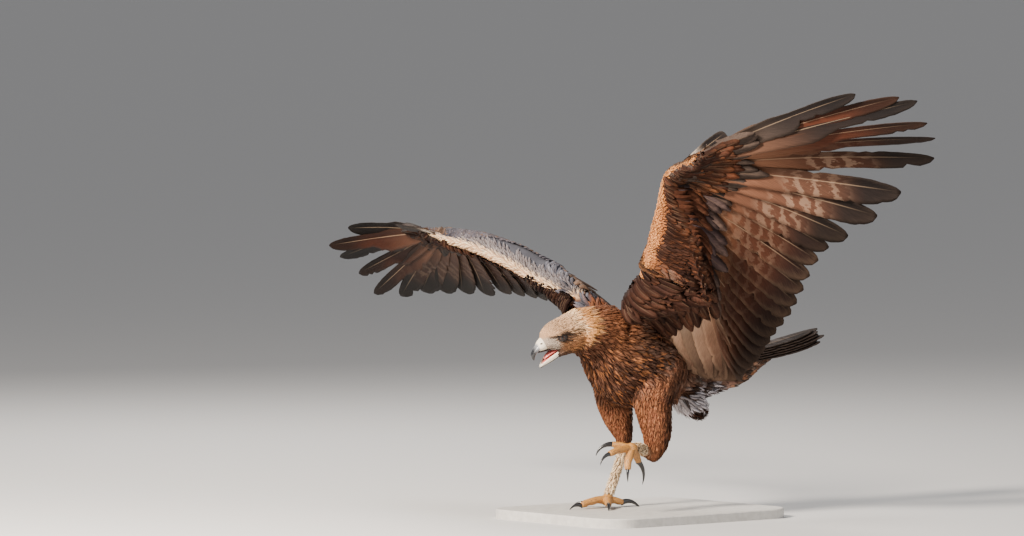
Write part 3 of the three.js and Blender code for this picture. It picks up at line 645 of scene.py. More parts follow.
def placed_group(tree, group, **values):
    node = tree.nodes.new("ShaderNodeGroup")
    node.node_tree = group
    for label, value in values.items():
        socket = node.inputs[label.replace("_", " ")]
        if isinstance(value, (int, float)):
            socket.default_value = value
        elif isinstance(value, tuple):
            socket.default_value = (*value, 1.0)
        else:
            wire(tree, value, socket)
    return node


def bumped(tree, shader, height, strength, distance):
    bump = tree.nodes.new("ShaderNodeBump")
    bump.inputs["Strength"].default_value = strength
    bump.inputs["Distance"].default_value = distance
    wire(tree, height, bump.inputs["Height"])
    wire(tree, bump.outputs["Normal"], shader.inputs["Normal"])


def feather_material(name, rough, barbs, shaft_width, tip_start, streaks):
    made, tree, shader = material(name, rough, specular=0.07)
    tint = attribute(tree, "Tint")
    shaft = blended(tree, 0.14, tint, (0.3, 0.19, 0.11))
    web = placed_group(
        tree, VANE_WEB, Web=tint, Tip=attribute(tree, "Fringe"), Shaft=shaft,
        Tip_start=tip_start, Shaft_width=shaft_width, Barb_count=barbs, Streaks=streaks,
    )
    wire(tree, web.outputs["Color"], shader.inputs["Base Color"])
    bumped(tree, shader, web.outputs["Height"], 0.35, 0.0004)
    return made


def flight_material():
    made, tree, shader = material("flight_vanes", 0.62, specular=0.07)
    tint = attribute(tree, "Tint")
    shaft = blended(tree, 0.25, tint, (0.5, 0.36, 0.24))
    web = placed_group(
        tree, VANE_WEB, Web=tint, Tip=attribute(tree, "Fringe"), Shaft=shaft,
        Tip_start=0.9, Shaft_width=0.055, Barb_count=150.0, Streaks=0.42,
    )
    bars = placed_group(tree, FEATHER_BARS, Count=12.0)
    strength = sums(tree, "MULTIPLY", bars.outputs["Mask"], attribute(tree, "Mottle", "Fac"))
    colour = blended(tree, strength, web.outputs["Color"], attribute(tree, "Pale"))
    wire(tree, colour, shader.inputs["Base Color"])
    bumped(tree, shader, web.outputs["Height"], 0.3, 0.0005)
    return made


def grained_material(name, colour, rough, scale, depth, coat=0.0, sheen=0.0):
    made, tree, shader = material(name, rough, sheen, coat)
    grain = placed_group(tree, FINE_GRAIN, Scale=scale, Depth=depth)
    shade = tree.nodes.new("ShaderNodeCombineColor")
    for socket in shade.inputs[:3]:
        wire(tree, grain.outputs["Shade"], socket)
    base = attribute(tree, "Tint") if colour is None else (*colour, 1.0)
    wire(tree, blended(tree, 1.0, base, shade.outputs[0], "MULTIPLY"), shader.inputs["Base Color"])
    bumped(tree, shader, grain.outputs["Height"], 0.4, 0.0005)
    return made


FEATHER = feather_material("contour_vanes", 0.72, 24.0, 0.12, 0.42, 0.38)
HACKLE = feather_material("hackle_vanes", 0.66, 16.0, 0.16, 0.3, 0.6)
DOWN = feather_material("down_vanes", 0.9, 14.0, 0.08, 0.5, 0.6)
VANES = flight_material()
UNDERCOAT = grained_material("undercoat", None, 0.95, 500.0, 0.6)
HORN = grained_material("bill_horn", None, 0.26, 260.0, 0.15, coat=0.3)
CLAW = grained_material("claw_horn", (0.012, 0.0115, 0.0125), 0.28, 320.0, 0.2, coat=0.3)
CERE = grained_material("cere_skin", None, 0.5, 420.0, 0.5, coat=0.1)
MOUTH = grained_material("mouth_lining", None, 0.35, 500.0, 0.5, coat=0.4)
EYE_GLASS = grained_material("eye_gloss", None, 0.1, 200.0, 0.0, coat=0.0)
BASE_PAINT = grained_material("base_paint", (0.55, 0.53, 0.5), 0.6, 700.0, 0.25)


# Toe skin: small scales all over each toe
def toe_material():
    made, tree, shader = material("toe_scales", 0.42, 0.0, 0.1)
    where = tree.nodes.new("ShaderNodeTexCoord")
    cells = tree.nodes.new("ShaderNodeTexVoronoi")
    cells.feature = "DISTANCE_TO_EDGE"
    cells.inputs["Scale"].default_value = 420.0
    wire(tree, where.outputs["Object"], cells.inputs["Vector"])
    rim = stepped(tree, cells.outputs["Distance"], 0.0, 0.16)
    shade = noise(tree, where.outputs["Object"], 60.0, 3.0)
    base = blended(tree, shade, (0.42, 0.17, 0.035), (0.7, 0.34, 0.07))
    colour = blended(tree, rim, (0.2, 0.09, 0.035), base)
    wire(tree, colour, shader.inputs["Base Color"])
    bumped(tree, shader, rim, 0.5, 0.0006)
    return made


TOE_SKIN = toe_material()


# Lists of colours and numbers kept on a mesh's points
def paint(mesh, name, values):
    values = np.asarray(values, np.float32)
    if values.ndim == 1:
        layer = mesh.attributes.new(name, "FLOAT", "POINT")
        layer.data.foreach_set("value", values)
        return
    layer = mesh.attributes.new(name, "FLOAT_COLOR", "POINT")
    full = np.ones((len(values), 4), np.float32)
    full[:, :3] = values
    layer.data.foreach_set("color", full.ravel())


def add_map(mesh, name, points):
    layer = mesh.uv_layers.new(name=name)
    corners = np.empty(len(mesh.loops), np.int32)
    mesh.loops.foreach_get("vertex_index", corners)
    layer.data.foreach_set("uv", np.asarray(points, np.float32)[corners].ravel())


# Many vanes as one mesh. Each vane is a thin closed blade with three points to a station:
# both edges and the top of the shaft.
# line, side and out are (vanes, stations, 3), half is (vanes, stations), all in millimetres.
def vane_mesh(name, line, side, out, half, droop, thick, tint, fringe, chance, roots):
    count, stations = half.shape
    left = line - side * half[..., None] - out * (half * droop)[..., None]
    right = line + side * half[..., None] - out * (half * droop)[..., None]
    top = line + out * thick
    points = np.stack([left, top, right], axis=2)
    ring = np.arange(3)
    here = (np.arange(stations - 1)[:, None] * 3 + ring).ravel()
    turned = (np.arange(stations - 1)[:, None] * 3 + (ring + 1) % 3).ravel()
    walls = np.stack([here, turned, turned + 3, here + 3], axis=1)
    ends = np.array([[2, 1, 0], [0, 1, 2]]) + np.array([[0], [3 * (stations - 1)]])
    shift = np.arange(count) * 3 * stations
    walls = (shift[:, None, None] + walls[None]).reshape(-1, 4)
    ends = (shift[:, None, None] + ends[None]).reshape(-1, 3)
    mesh = bpy.data.meshes.new(name)
    total = count * stations * 3
    mesh.vertices.add(total)
    mesh.vertices.foreach_set("co", (points.reshape(-1, 3) * MM).astype(np.float32).ravel())
    corners = np.concatenate([walls.ravel(), ends.ravel()]).astype(np.int32)
    starts = np.concatenate(
        [np.arange(0, walls.size, 4), walls.size + np.arange(0, ends.size, 3)]
    ).astype(np.int32)
    mesh.loops.add(len(corners))
    mesh.loops.foreach_set("vertex_index", corners)
    mesh.polygons.add(len(starts))
    mesh.polygons.foreach_set("loop_start", starts)
    mesh.update(calc_edges=True)
    mesh.validate()
    across = np.tile(np.array([0.0, 0.5, 1.0]), count * stations)
    down = np.tile(np.repeat(np.linspace(0, 1, stations), 3), count)
    add_map(mesh, "Vane", np.stack([across, down], axis=1))
    spread = np.stack([across - 0.5, down - 0.5], axis=1) * 0.003
    place = np.repeat(np.clip(roots, 0.01, 0.99), stations * 3, axis=0)
    add_map(mesh, "OFBake", place + spread)
    paint(mesh, "Tint", np.repeat(tint, stations * 3, axis=0))
    paint(mesh, "Fringe", np.repeat(fringe, stations * 3, axis=0))
    paint(mesh, "Chance", np.repeat(chance, stations * 3))
    return mesh


# Half width of a vane from root to tip, as a share of its widest
def vane_outline(kind, stations):
    t = np.linspace(0, 1, stations)
    if kind == "lance":
        return np.interp(t, [0, 0.25, 0.5, 0.75, 0.9, 1], [0.45, 0.9, 1, 0.75, 0.42, 0.06])
    if kind == "down":
        return np.interp(t, [0, 0.3, 0.6, 0.85, 1], [0.5, 1, 0.95, 0.6, 0.12])
    return np.interp(t, [0, 0.25, 0.6, 0.82, 0.93, 1], [0.45, 0.85, 1, 0.88, 0.6, 0.2])


# Skin: the flesh of head, neck, body and legs with the arms of the wings, as one closed surface
FLESH = ["torso", "neck", "head", "thigh_left", "thigh_right", "shank_left", "shank_right"]
SKIN = {"voxel": 2.5, "inside": 3.0, "face": 1.0, "arm": 0.8, "smooth": 4}
BROW_ROWS = [
    (15, -27, 7.5, 3.4, 3, 3),
    (27.5, -11, 8.8, 5.2, 3.2, 3.4),
    (33, 3, 8.3, 5.2, 3.2, 3.2),
    (34, 18, 7, 3.2, 2.6, 3),
]
EYE_LOOK = {"ahead": 24, "down": 2, "wide": 49, "tall": 25, "lid": 1.25, "socket": 10.8}
TAIL_STUMP_ROWS = [
    (0, 110, 276, 34, 30, 46),
    (0, 150, 280, 28, 22, 44),
    (0, 195, 286, 28, 19, 50),
    (0, 240, 293, 26, 14, 50),
    (0, 282, 301, 21, 10, 34),
    (0, 322, 307, 12, 6, 20),
]


class Wing:
    """Where a wing's feathers spring from and lie, by the feather's number."""

    def __init__(self, pose):
        self.side = pose["side"]
        self.shoulder = np.array(pose["shoulder"], float)
        elbow, wrist, tip = (np.array(pose[n], float) for n in ("elbow", "wrist", "hand_tip"))
        self.joints = [tip, wrist, elbow, mix(elbow, self.shoulder, 0.8)]
        self.numbers = [-0.5, WRIST, ELBOW, INNERMOST + 0.5]
        self.front = pose["front"]
        self.starts = [row[0] for row in pose["fan"]]
        self.lies = [row[1:] for row in pose["fan"]]

    def root(self, k):
        i = 0 if k < WRIST else 1 if k < ELBOW else 2
        share = (k - self.numbers[i]) / (self.numbers[i + 1] - self.numbers[i])
        return mix(self.joints[i], self.joints[i + 1], share)

    def lie(self, k):
        after = [i for i, start in enumerate(self.starts) if start > k]
        i = max(0, after[0] - 1) if after else len(self.starts) - 2
        share = (k - self.starts[i]) / (self.starts[i + 1] - self.starts[i])
        row = along(self.lies, i + share)
        return row[:3] / np.linalg.norm(row[:3]), row[3]

    def place(self, k):
        ahead, long = self.lie(k)
        ends = []
        for n in (k + 0.6, k - 0.6):
            lie, reach = self.lie(n)
            ends.append(self.root(n) + lie * 0.45 * reach)
        edge = ends[1] - ends[0]
        edge = edge - ahead * edge.dot(ahead)
        edge /= np.linalg.norm(edge)
        return self.root(k), ahead, long, edge, np.cross(edge, ahead) * self.side

    def section(self, k):
        numbers = [s[0] for s in ARM_SECTIONS] + [INNERMOST + 1]
        places = [s[1] for s in ARM_SECTIONS] + [6]
        thick = [s[2] for s in ARM_SECTIONS] + [54]
        fuller = [s[3] for s in ARM_SECTIONS] + [0]
        lead = along(self.front, np.interp(k, numbers, places))
        return lead, np.interp(k, numbers, thick), np.interp(k, numbers, fuller)

    # Points on one face of the wing, given distances behind the flight feathers' root line
    def on_face(self, k, behind, face, lift):
        root, ahead, long, edge, up = self.place(k)
        lead, thick, fuller = self.section(k)
        trail = root + ahead * 20
        chord = trail - lead
        wide = np.linalg.norm(chord)
        behind = np.asarray(behind, float)[:, None]
        share = np.clip((behind + wide - 20) / wide, 0, 1)
        half = thick / 2 + (fuller if face > 0 else 0)
        core = half * (1.3 - 0.85 * share) * np.sqrt(np.maximum(0, 1 - (1 - 2 * share) ** 2))
        camber = CAMBER * np.sin(math.pi * np.clip((behind + 8) / (long + 8), 0, 1)) + face
        on_arm = face * np.maximum(core, face * camber)
        arm = lead + chord * share + up * on_arm
        blade = root + ahead * behind + up * camber
        points = np.where(behind < 20, arm, blade)
        arm_up = unit(np.cross(edge, chord)) * self.side
        arm_up = arm_up if arm_up.dot(up) > 0 else -arm_up
        out = unit(mix(arm_up, up, ramp(-22, 34, behind)))
        clear = CLEARANCE[face] * ramp(-45, -8, behind) + FOLD[face] * np.exp(-(((behind - 4) / 20) ** 2))
        return points + out * face * (np.asarray(lift)[:, None] + clear), edge, up * face

    def width(self, k):
        lead = self.section(k)[0]
        return np.linalg.norm(self.root(k) - lead)


WING = {name: Wing(pose) for name, pose in WINGS.items()}


# The inner end of each arm lies in the body: how far in, back and down it goes from the shoulder
ARM_END = {"inwards": 46, "back": 30, "down": 34, "rear": (0, 92, -34), "outer": 62, "inner": 58}


def arm_rings(wing, sides=20):
    def chord(lead, trail, up, thick, fuller=0.0):
        turns = 2 * np.pi * np.arange(sides) / sides
        share = (0.5 - 0.5 * np.cos(turns))[:, None]
        half = thick / 2 + np.where(np.sin(turns) > 0.01, fuller, 0.0)[:, None]
        height = np.sin(turns)[:, None] * half * (1.3 - 0.85 * share)
        return mix(lead, trail, share) + up * height

    rings = []
    for k in np.linspace(0.2, ELBOW + 3.2, 26):
        root, ahead, _, _, up = wing.place(k)
        lead, thick, fuller = wing.section(k)
        rings.append(chord(lead, root + ahead * 20, up, thick, fuller))
    inner = np.array([-wing.side * ARM_END["inwards"], ARM_END["back"], -ARM_END["down"]])
    rear = wing.shoulder + ARM_END["rear"]
    up = unit(np.array([wing.side * 0.35, 0.2, 1]))
    lead = np.array(wing.front[-1], float)
    rings.append(chord(lead, rear, up, ARM_END["outer"]))
    rings.append(chord(lead + inner, rear + inner, up, ARM_END["inner"]))
    return rings


def remeshed(mesh, voxel, smooth):
    piece = bpy.data.objects.new("voxels", mesh)
    bpy.context.scene.collection.objects.link(piece)
    grid = piece.modifiers.new("voxels", "REMESH")
    grid.mode = "VOXEL"
    grid.voxel_size = voxel * MM
    soft = piece.modifiers.new("soft", "SMOOTH")
    soft.factor = 0.5
    soft.iterations = smooth
    bpy.context.view_layer.update()
    graph = bpy.context.evaluated_depsgraph_get()
    made = bpy.data.meshes.new_from_object(piece.evaluated_get(graph), depsgraph=graph)
    bpy.data.objects.remove(piece)
    made.materials.clear()
    return made


def points_of(mesh, what="co"):
    values = np.empty(len(mesh.vertices) * 3, np.float32)
    mesh.vertices.foreach_get(what, values)
    return values.reshape(-1, 3).astype(float)


def eye_axis(side):
    ahead, down = math.radians(EYE_LOOK["ahead"]), math.radians(EYE_LOOK["down"])
    return Vector((side * math.cos(ahead) * math.cos(down), -math.sin(ahead), -math.sin(down)))


def eye_frame(side):
    axis = eye_axis(side)
    upward = Vector((0, 0, 1)) - axis * axis.z
    upward.normalize()
    return axis, upward.cross(axis), upward


# How far the lids are open, in degrees from the eye's axis, for a turn round that axis
def lid_opening(turn):
    across = np.abs(np.cos(turn)) ** 1.4
    return EYE_LOOK["wide"] * across + EYE_LOOK["tall"] * (1 - across)


# Degrees past the edge of the lids, and distance from the eye's centre, of points in the head's frame
def past_lids(head, side):
    axis, sideways, upward = (np.array(v) for v in eye_frame(side))
    away = head - np.array([side * EYE["out"], 0, 0])
    distance = np.linalg.norm(away, axis=1)
    angle = np.degrees(np.arccos(np.clip(away @ axis / np.maximum(distance, 1e-6), -1, 1)))
    turn = np.arctan2(away @ upward, away @ sideways)
    return angle - lid_opening(turn), distance


def skin_mesh():
    shape = bmesh.new()
    for node in FLESH:
        shape.from_mesh(NODES[node].data)
    bmesh.ops.remove_doubles(shape, verts=shape.verts, dist=0.02 * MM)
    for wing in WING.values():
        add_loft(shape, arm_rings(wing))
    add_loft(shape, tube_rings(TAIL_STUMP_ROWS, 20, 16))
    for side in (-1, 1):
        rows = [(side * x, *rest) for x, *rest in BROW_ROWS]
        add_loft(shape, tube_rings(rows, 16, 14), HEAD_PLACE)
        place = HEAD_PLACE @ Matrix.Translation((side * EYE["out"] * MM, 0, 0))
        bmesh.ops.create_uvsphere(
            shape, u_segments=24, v_segments=16, radius=EYE_LOOK["socket"] * MM, matrix=place
        )
    mesh = remeshed(close_shape(shape, "flesh"), SKIN["voxel"], SKIN["smooth"])
    points = points_of(mesh) / MM
    normals = points_of(mesh, "normal")
    head = in_head(points)
    face = ramp(44, 24, head[:, 1]) * ramp(52, 44, np.linalg.norm(head - (0, 10, -6), axis=1))
    on_arm = ramp(85, 125, np.abs(points[:, 0]))
    inset = SKIN["inside"] + (SKIN["face"] - SKIN["inside"]) * face
    inset = inset + (SKIN["arm"] - inset) * on_arm
    points = points - normals * inset[:, None]
    for side in (-1, 1):
        centre = np.array(HEAD_PLACE @ (Vector((side * EYE["out"], 0, 0)) * MM)) / MM
        past, distance = past_lids(in_head(points), side)
        open_here = ramp(7, 1, past) * (distance < 14)
        scale = 1 + (8.0 / np.maximum(distance, 1) - 1) * open_here
        points = np.where(open_here[:, None] > 0, centre + (points - centre) * scale[:, None], points)
    mesh.vertices.foreach_set("co", (points * MM).astype(np.float32).ravel())
    mesh.update()
    return mesh


SKIN_MESH = skin_mesh()
SKIN_MESH.name = "skin"
SKIN_TREE = BVHTree.FromPolygons(
    [v.co for v in SKIN_MESH.vertices], [tuple(p.vertices) for p in SKIN_MESH.polygons]
)

# The lines that the coat follows, each from the front of its part to the end that feathers point to
HEAD_ROWS = [(0, -34, 0, 18), (0, -16, 0, 27), (0, 10, 1, 36), (0, 34, 2, 39), (0, 52, 2, 38)]
COAT_LINES = {
    "neck": [(-6, -152, 360, 46), (-3, -132, 360, 50), (-1, -108, 356, 57), (0, -82, 350, 60)],
    "trunk": [
        (0, -128, 341, 40),
        (0, -94, 328, 66),
        (0, -52, 314, 86),
        (0, 5, 300, 86),
        (0, 60, 290, 74),
        (0, 110, 279, 56),
        (0, 150, 272, 40),
    ],
    "rump": [(0, 150, 274, 34), (0, 195, 275, 32), (0, 240, 280, 28), (0, 282, 292, 21), (0, 322, 303, 12)],
    "thigh_left": [
        (42, 30, 300, 46),
        (55, -12, 252, 43),
        (60, -18, 205, 34),
        (62, -13, 165, 28),
        (57, -14, 134, 20),
        (51, -20, 116, 12),
    ],
    "thigh_right": [
        (-38, 24, 305, 46),
        (-46, -14, 262, 44),
        (-47, -20, 225, 37),
        (-46, -14, 185, 28),
        (-44, -4, 152, 17),
        (-44, -1, 136, 11),
    ],
    "shank_left": [(56, -36, 134, 13), (64, -56, 137, 12), (71, -72, 140, 10), (78, -88, 139, 9)],
    "shank_right": [(-44, -2, 138, 10), (-44, -10, 112, 10), (-45, -27, 72, 9.5), (-45, -41, 40, 9.5)],
    "arm_left": [(60, -44, 392, 50), (110, -44, 428, 46), (172, -56, 470, 40), (217, -103, 640, 26)],
    "arm_right": [(-60, -44, 392, 50), (-106, -44, 424, 46), (-190, -60, 462, 40), (-392, -139, 521, 26)],
}
HEAD_LINE = [
    (*(np.array(HEAD_PLACE @ (Vector(row[:3]) * MM)) / MM), row[3]) for row in HEAD_ROWS
]
COAT_LINES = {"head": HEAD_LINE, **COAT_LINES}
PARTS = list(COAT_LINES)


# For each point: how near it is to every line, as shares of the part's radius, and the lines' lie
def follow(points):
    nearness = []
    lies = []
    places = []
    for rows in COAT_LINES.values():
        rows = np.array(rows, float)
        best = np.full(len(points), np.inf)
        lie = np.zeros((len(points), 3))
        place = np.zeros(len(points))
        for i, (a, b) in enumerate(zip(rows, rows[1:])):
            run = b[:3] - a[:3]
            share = np.clip((points - a[:3]) @ run / run.dot(run), 0, 1)
            gap = np.linalg.norm(points - a[:3] - share[:, None] * run, axis=1)
            gap = gap / (a[3] + share * (b[3] - a[3]))
            closer = gap < best
            best = np.where(closer, gap, best)
            lie[closer] = run / np.linalg.norm(run)
            place[closer] = (i + share[closer]) / (len(rows) - 1)
        nearness.append(best)
        lies.append(lie)
        places.append(place)
    return np.array(nearness), np.array(lies), np.array(places)


# Slow changes of colour and size over the body, the same on every run
def drift(points, size, seed):
    rng = np.random.default_rng(seed)
    total = np.zeros(len(points))
    for _ in range(6):
        wave = rng.normal(size=3)
        wave *= 2 * math.pi / size / np.linalg.norm(wave)
        total += np.sin(points @ wave + rng.uniform(0, 6.28))
    return total / 6


# The front edge of each wing: its points, the way out to the wing tip, the way back and upwards
def front_edge(wing):
    numbers = np.concatenate([np.linspace(0.2, ELBOW + 3.2, 60), [INNERMOST + 2.0]])
    points, backwards, upwards = [], [], []
    for k in numbers[:-1]:
        root, ahead, _, _, up = wing.place(k)
        lead = wing.section(k)[0]
        points.append(lead)
        backwards.append(unit(root + ahead * 20 - lead))
        upwards.append(up)
    points.append(np.array(wing.front[-1], float))
    backwards.append(unit(np.array([0.15 * wing.side, 1, -0.2])))
    upwards.append(unit(np.array([0.35 * wing.side, 0.2, 1])))
    points = np.array(points)
    outward = unit(-np.gradient(points, axis=0))
    return {
        "number": numbers,
        "point": points,
        "out": outward,
        "back": np.array(backwards),
        "up": np.array(upwards),
    }


FRONT_EDGES = {name: front_edge(wing) for name, wing in WING.items()}


# For each point: how far it is from a wing's front edge, and the nearest place on that edge
def from_edge(points, name):
    edge = FRONT_EDGES[name]
    near = np.empty(len(points), int)
    away = np.empty(len(points))
    for first in range(0, len(points), 20000):
        some = points[first : first + 20000]
        gaps = np.linalg.norm(some[:, None] - edge["point"][None], axis=2)
        near[first : first + 20000] = gaps.argmin(axis=1)
        away[first : first + 20000] = gaps.min(axis=1)
    return near, away


def within(value, low, high, soft):
    return ramp(low - soft, low + soft, value) * ramp(high + soft, high - soft, value)


# Colours of the head and hackles by place in the head's own frame: root and tip of each feather
def head_colours(head, height):
    forward, tall = head[:, 1], head[:, 2]
    ruff_end = 53 - 34 * ramp(4, -28, tall)
    ruff = ramp(ruff_end + 5, ruff_end - 5, forward)
    root = mix(np.tile(BUFF, (len(head), 1)), CREAM, ramp(8, 38, forward)[:, None])
    tip = mix(np.tile((0.5, 0.33, 0.21), (len(head), 1)), (0.9, 0.66, 0.4), ramp(2, 34, forward)[:, None])
    gold_rim = (ramp(ruff_end - 32, ruff_end - 14, forward) * ruff)[:, None]
    root = mix(root, (0.36, 0.14, 0.04), gold_rim * 0.85)
    tip = mix(tip, (0.72, 0.32, 0.085), gold_rim * 0.95)
    cheek = within(tall, -26, 2, 5) * ramp(-20, -6, forward) * ramp(34, 22, forward)
    side = ramp(10, 26, forward)
    root = mix(root, mix(CHEEK, TAN, 0.3), (cheek * (0.92 - 0.35 * side))[:, None])
    tip = mix(tip, (0.46, 0.22, 0.095), (cheek * 0.9)[:, None])
    lore = ramp(-8, -17, forward) * ramp(9, 3, tall)
    root = mix(root, LORE_GREY, (lore * 0.95)[:, None])
    tip = mix(tip, (0.5, 0.42, 0.35), (lore * 0.95)[:, None])
    throat = ramp(-22, -31, tall)
    root = mix(root, THROAT, (throat * 0.9)[:, None])
    tip = mix(tip, (0.13, 0.065, 0.04), (throat * 0.9)[:, None])
    # Round the eye the feathers are darker; the dark line just under the brow's ridge is painted shadow
    brow_shadow = ramp(3.6, 1.4, np.abs(tall - 5.4)) * within(forward, -27, 20, 4)
    around = np.sqrt(((forward + 3.5) / 1.35) ** 2 + (tall - 0.6) ** 2)
    eye = np.maximum(ramp(12.0, 7.5, around), 0.9 * brow_shadow) * (np.abs(head[:, 0]) > 12)
    root = mix(root, (0.03, 0.018, 0.013), eye[:, None])
    tip = mix(tip, (0.085, 0.052, 0.037), eye[:, None])
    beyond = 1 - ruff
    below = ramp(0.25, -0.6, height)
    neck_root = mix(mix(UMBER, RUFOUS, 0.55), UMBER, below[:, None])
    neck_tip = mix((0.27, 0.115, 0.06), mix(UMBER, RUFOUS, 0.5), below[:, None])
    root = mix(root, neck_root, beyond[:, None])
    tip = mix(tip, neck_tip, beyond[:, None])
    return root, tip


# The coat at each point of the skin: spacing, length, half width, lift in millimetres, and colours
def coat_at(points, normals):
    nearness, lies, places = follow(points)
    weight = np.maximum(nearness, 0.2) ** -7.0
    weight /= weight.sum(axis=0)
    part = nearness.argmin(axis=0)
    flow = (weight[..., None] * lies).sum(axis=0)
    share = {name: weight[i] for i, name in enumerate(PARTS)}
    place = {name: places[i] for i, name in enumerate(PARTS)}
    head = in_head(points)
    height = normals[:, 2]
    back = ramp(-34, 56, head[:, 1])
    above = ramp(-0.1, 0.75, height)
    rear = ramp(-0.35, 0.55, normals[:, 1])
    breast = ramp(-20, -70, points[:, 1]) * ramp(0.5, -0.1, height)
    count = len(points)
    none = np.zeros(count)
    sizes = {
        "head": [1.35 + 2.0 * back, 4.0 + 24 * back**2.0, 0.95 + 1.9 * back, 0.6 + 2.0 * back, none],
        "neck": [3.3 + none, 36 + none, 3.2 + none, 3.0 + none, none],
        "trunk": [
            5.8 + 1.0 * above - 1.7 * breast,
            34 + 14 * above,
            6.4 + 2.2 * above - 2.7 * breast,
            4.6 + 0.2 * above - 0.6 * breast,
            0.85 - 0.75 * breast,
        ],
        "rump": [7.0 + none, 46 + none, 7.8 + none, 5.6 + none, 0.9 + none],
        "thigh": [3.2 + none, 20 + 14 * rear, 2.6 + 1.3 * rear, 1.7 + 2.6 * rear, 0.2 + none],
        "shank": [2.2 + none, 14 + none, 2.3 + none, 3.6 + none, none],
        "arm": [5.6 + none, 36 + none, 5.6 + none, 4.0 + none, 0.6 + none],
    }
    kinds = [name.split("_")[0] for name in PARTS]
    size = sum(weight[i][:, None] * np.stack(sizes[kind], 1) for i, kind in enumerate(kinds))
    for side in ("left", "right"):
        low = (ramp(0.62, 1.0, place[f"thigh_{side}"]) * share[f"thigh_{side}"])[:, None]
        size = size * (1 - low) + np.array([2.6, 16, 2.4, 2.6, 0.2]) * low

    head_root, head_tip = head_colours(head, height)
    sideways = ramp(8, 26, np.abs(head[:, 0])) * ramp(12, 44, head[:, 1]) * share["head"]
    drooping = np.array(HEAD_PLACE.to_3x3() @ Vector((0, 0.5, -0.85)))
    flow = mix(flow, drooping, (0.6 * sideways)[:, None])
    patches = drift(points, 70, 8)[:, None]
    warm = drift(points, 38, 9)[:, None]
    flank = mix(np.tile(mix(CHOCOLATE, ASH_BROWN, 0.3), (count, 1)), UMBER, ramp(-0.3, 0.3, patches))
    flank_tip = mix(np.tile((0.19, 0.145, 0.122), (count, 1)), (0.13, 0.062, 0.04), ramp(-0.1, 0.4, warm))
    front = ramp(30, -40, points[:, 0])[:, None]
    breast_root = mix(np.tile(mix(CHOCOLATE, UMBER, 0.5), (count, 1)), RUFOUS, 0.08 + 0.17 * front)
    streaked = ramp(-0.1, 0.5, warm) * (0.2 + 0.5 * front)
    breast_tip = mix(np.tile((0.105, 0.056, 0.04), (count, 1)), (0.3, 0.12, 0.055), streaked)
    trunk_root = mix(flank, breast_root, breast[:, None])
    trunk_tip = mix(flank_tip, breast_tip, breast[:, None])
    trunk_root = mix(trunk_root, MANTLE, above[:, None])
    trunk_tip = mix(trunk_tip, mix(RUFOUS, GREY_BROWN, 0.6), above[:, None])
    shoulder = np.exp(-(((points - np.array([36, -116, 366])) / np.array([40, 28, 36])) ** 2).sum(axis=1))
    trunk_root = mix(trunk_root, mix(RUFOUS, TAN, 0.3), (shoulder * 0.9)[:, None])
    trunk_tip = mix(trunk_tip, ORANGE, (shoulder * 0.9)[:, None])
    spots = drift(points, 26, 12)[:, None]
    rump_root = mix(mix(ASH_BROWN, UMBER, 0.5), mix(RUFOUS, TAN, 0.4), ramp(-0.2, 0.4, spots))
    rump_tip = mix(np.tile((0.2, 0.15, 0.12), (count, 1)), (0.42, 0.2, 0.11), ramp(-0.2, 0.4, spots))
    rump_root = mix(rump_root, MANTLE, above[:, None])
    outer = ramp(0.0, 0.6, normals[:, 0])
    thigh_root = mix(np.tile(CINNAMON, (count, 1)), mix(RUFOUS, UMBER, 0.3), ramp(-0.1, 0.6, patches))
    thigh_tip = mix(np.tile(ORANGE, (count, 1)), (0.46, 0.22, 0.12), (0.4 * outer)[:, None])
    thigh_root = mix(thigh_root, DARK, rear[:, None])
    thigh_tip = mix(thigh_tip, mix(UMBER, RUFOUS, 0.35), (rear * 0.92)[:, None])
    leg_root = np.tile(LEG_CREAM, (count, 1))
    leg_tip = np.tile((0.9, 0.74, 0.52), (count, 1))
    arm_root = mix(np.tile(mix(UMBER, RUFOUS, 0.3), (count, 1)), ASH_BROWN, ramp(0.0, 0.6, patches))
    arm_tip = mix(np.tile(RUFOUS, (count, 1)), (0.3, 0.13, 0.06), ramp(-0.2, 0.6, warm))
    # Upward faces of the right arm turn bluish grey: a painted reflection of the sky
    far_wing_sky_sheen = (ramp(-0.5, 0.0, height) * ramp(-40, -62, points[:, 0]))[:, None]
    arm_root = mix(arm_root, SLATE_AND_SKY_SHEEN, far_wing_sky_sheen)
    arm_tip = mix(arm_tip, PALE_SKY_SHEEN, far_wing_sky_sheen)
    looks = {
        "head": (head_root, head_tip),
        "neck": (head_root, head_tip),
        "trunk": (trunk_root, trunk_tip),
        "rump": (rump_root, rump_tip),
        "thigh": (thigh_root, thigh_tip),
        "shank": (leg_root, leg_tip),
        "arm": (arm_root, arm_tip),
    }
    tint = sum(weight[i][:, None] * looks[kind][0] for i, kind in enumerate(kinds))
    fringe = sum(weight[i][:, None] * looks[kind][1] for i, kind in enumerate(kinds))

    # The loose white and dark feathers below the vent
    body = share["trunk"] + share["rump"] + share["thigh_left"] * 0.8
    vent = ramp(48, 64, points[:, 1]) * ramp(258, 238, points[:, 2]) * ramp(190, 150, points[:, 1]) * body
    vent = np.clip(vent, 0, 1)[:, None]
    size = size * (1 - vent) + np.array([3.4, 38, 2.8, 12.0, 0.1]) * vent
    white = ramp(-0.3, 0.1, warm) * ramp(206, 226, points[:, 2])[:, None]
    tint = mix(tint, mix(np.tile(UMBER, (count, 1)), (0.5, 0.46, 0.48), white), vent)
    fringe = mix(fringe, mix(np.tile(DARK, (count, 1)), (0.42, 0.38, 0.4), white * 0.8), vent)
    flow = mix(flow, np.array([0.25, 0.7, -0.65]), vent * 0.75)

    # On the arms the feathers lie backwards
    for name, wing in WING.items():
        on_arm = share[f"arm_{name}"] * ramp(40, 75, np.abs(points[:, 0]))
        flow = mix(flow, np.array([0.25 * wing.side, 0.85, -0.4]), (0.8 * on_arm)[:, None])

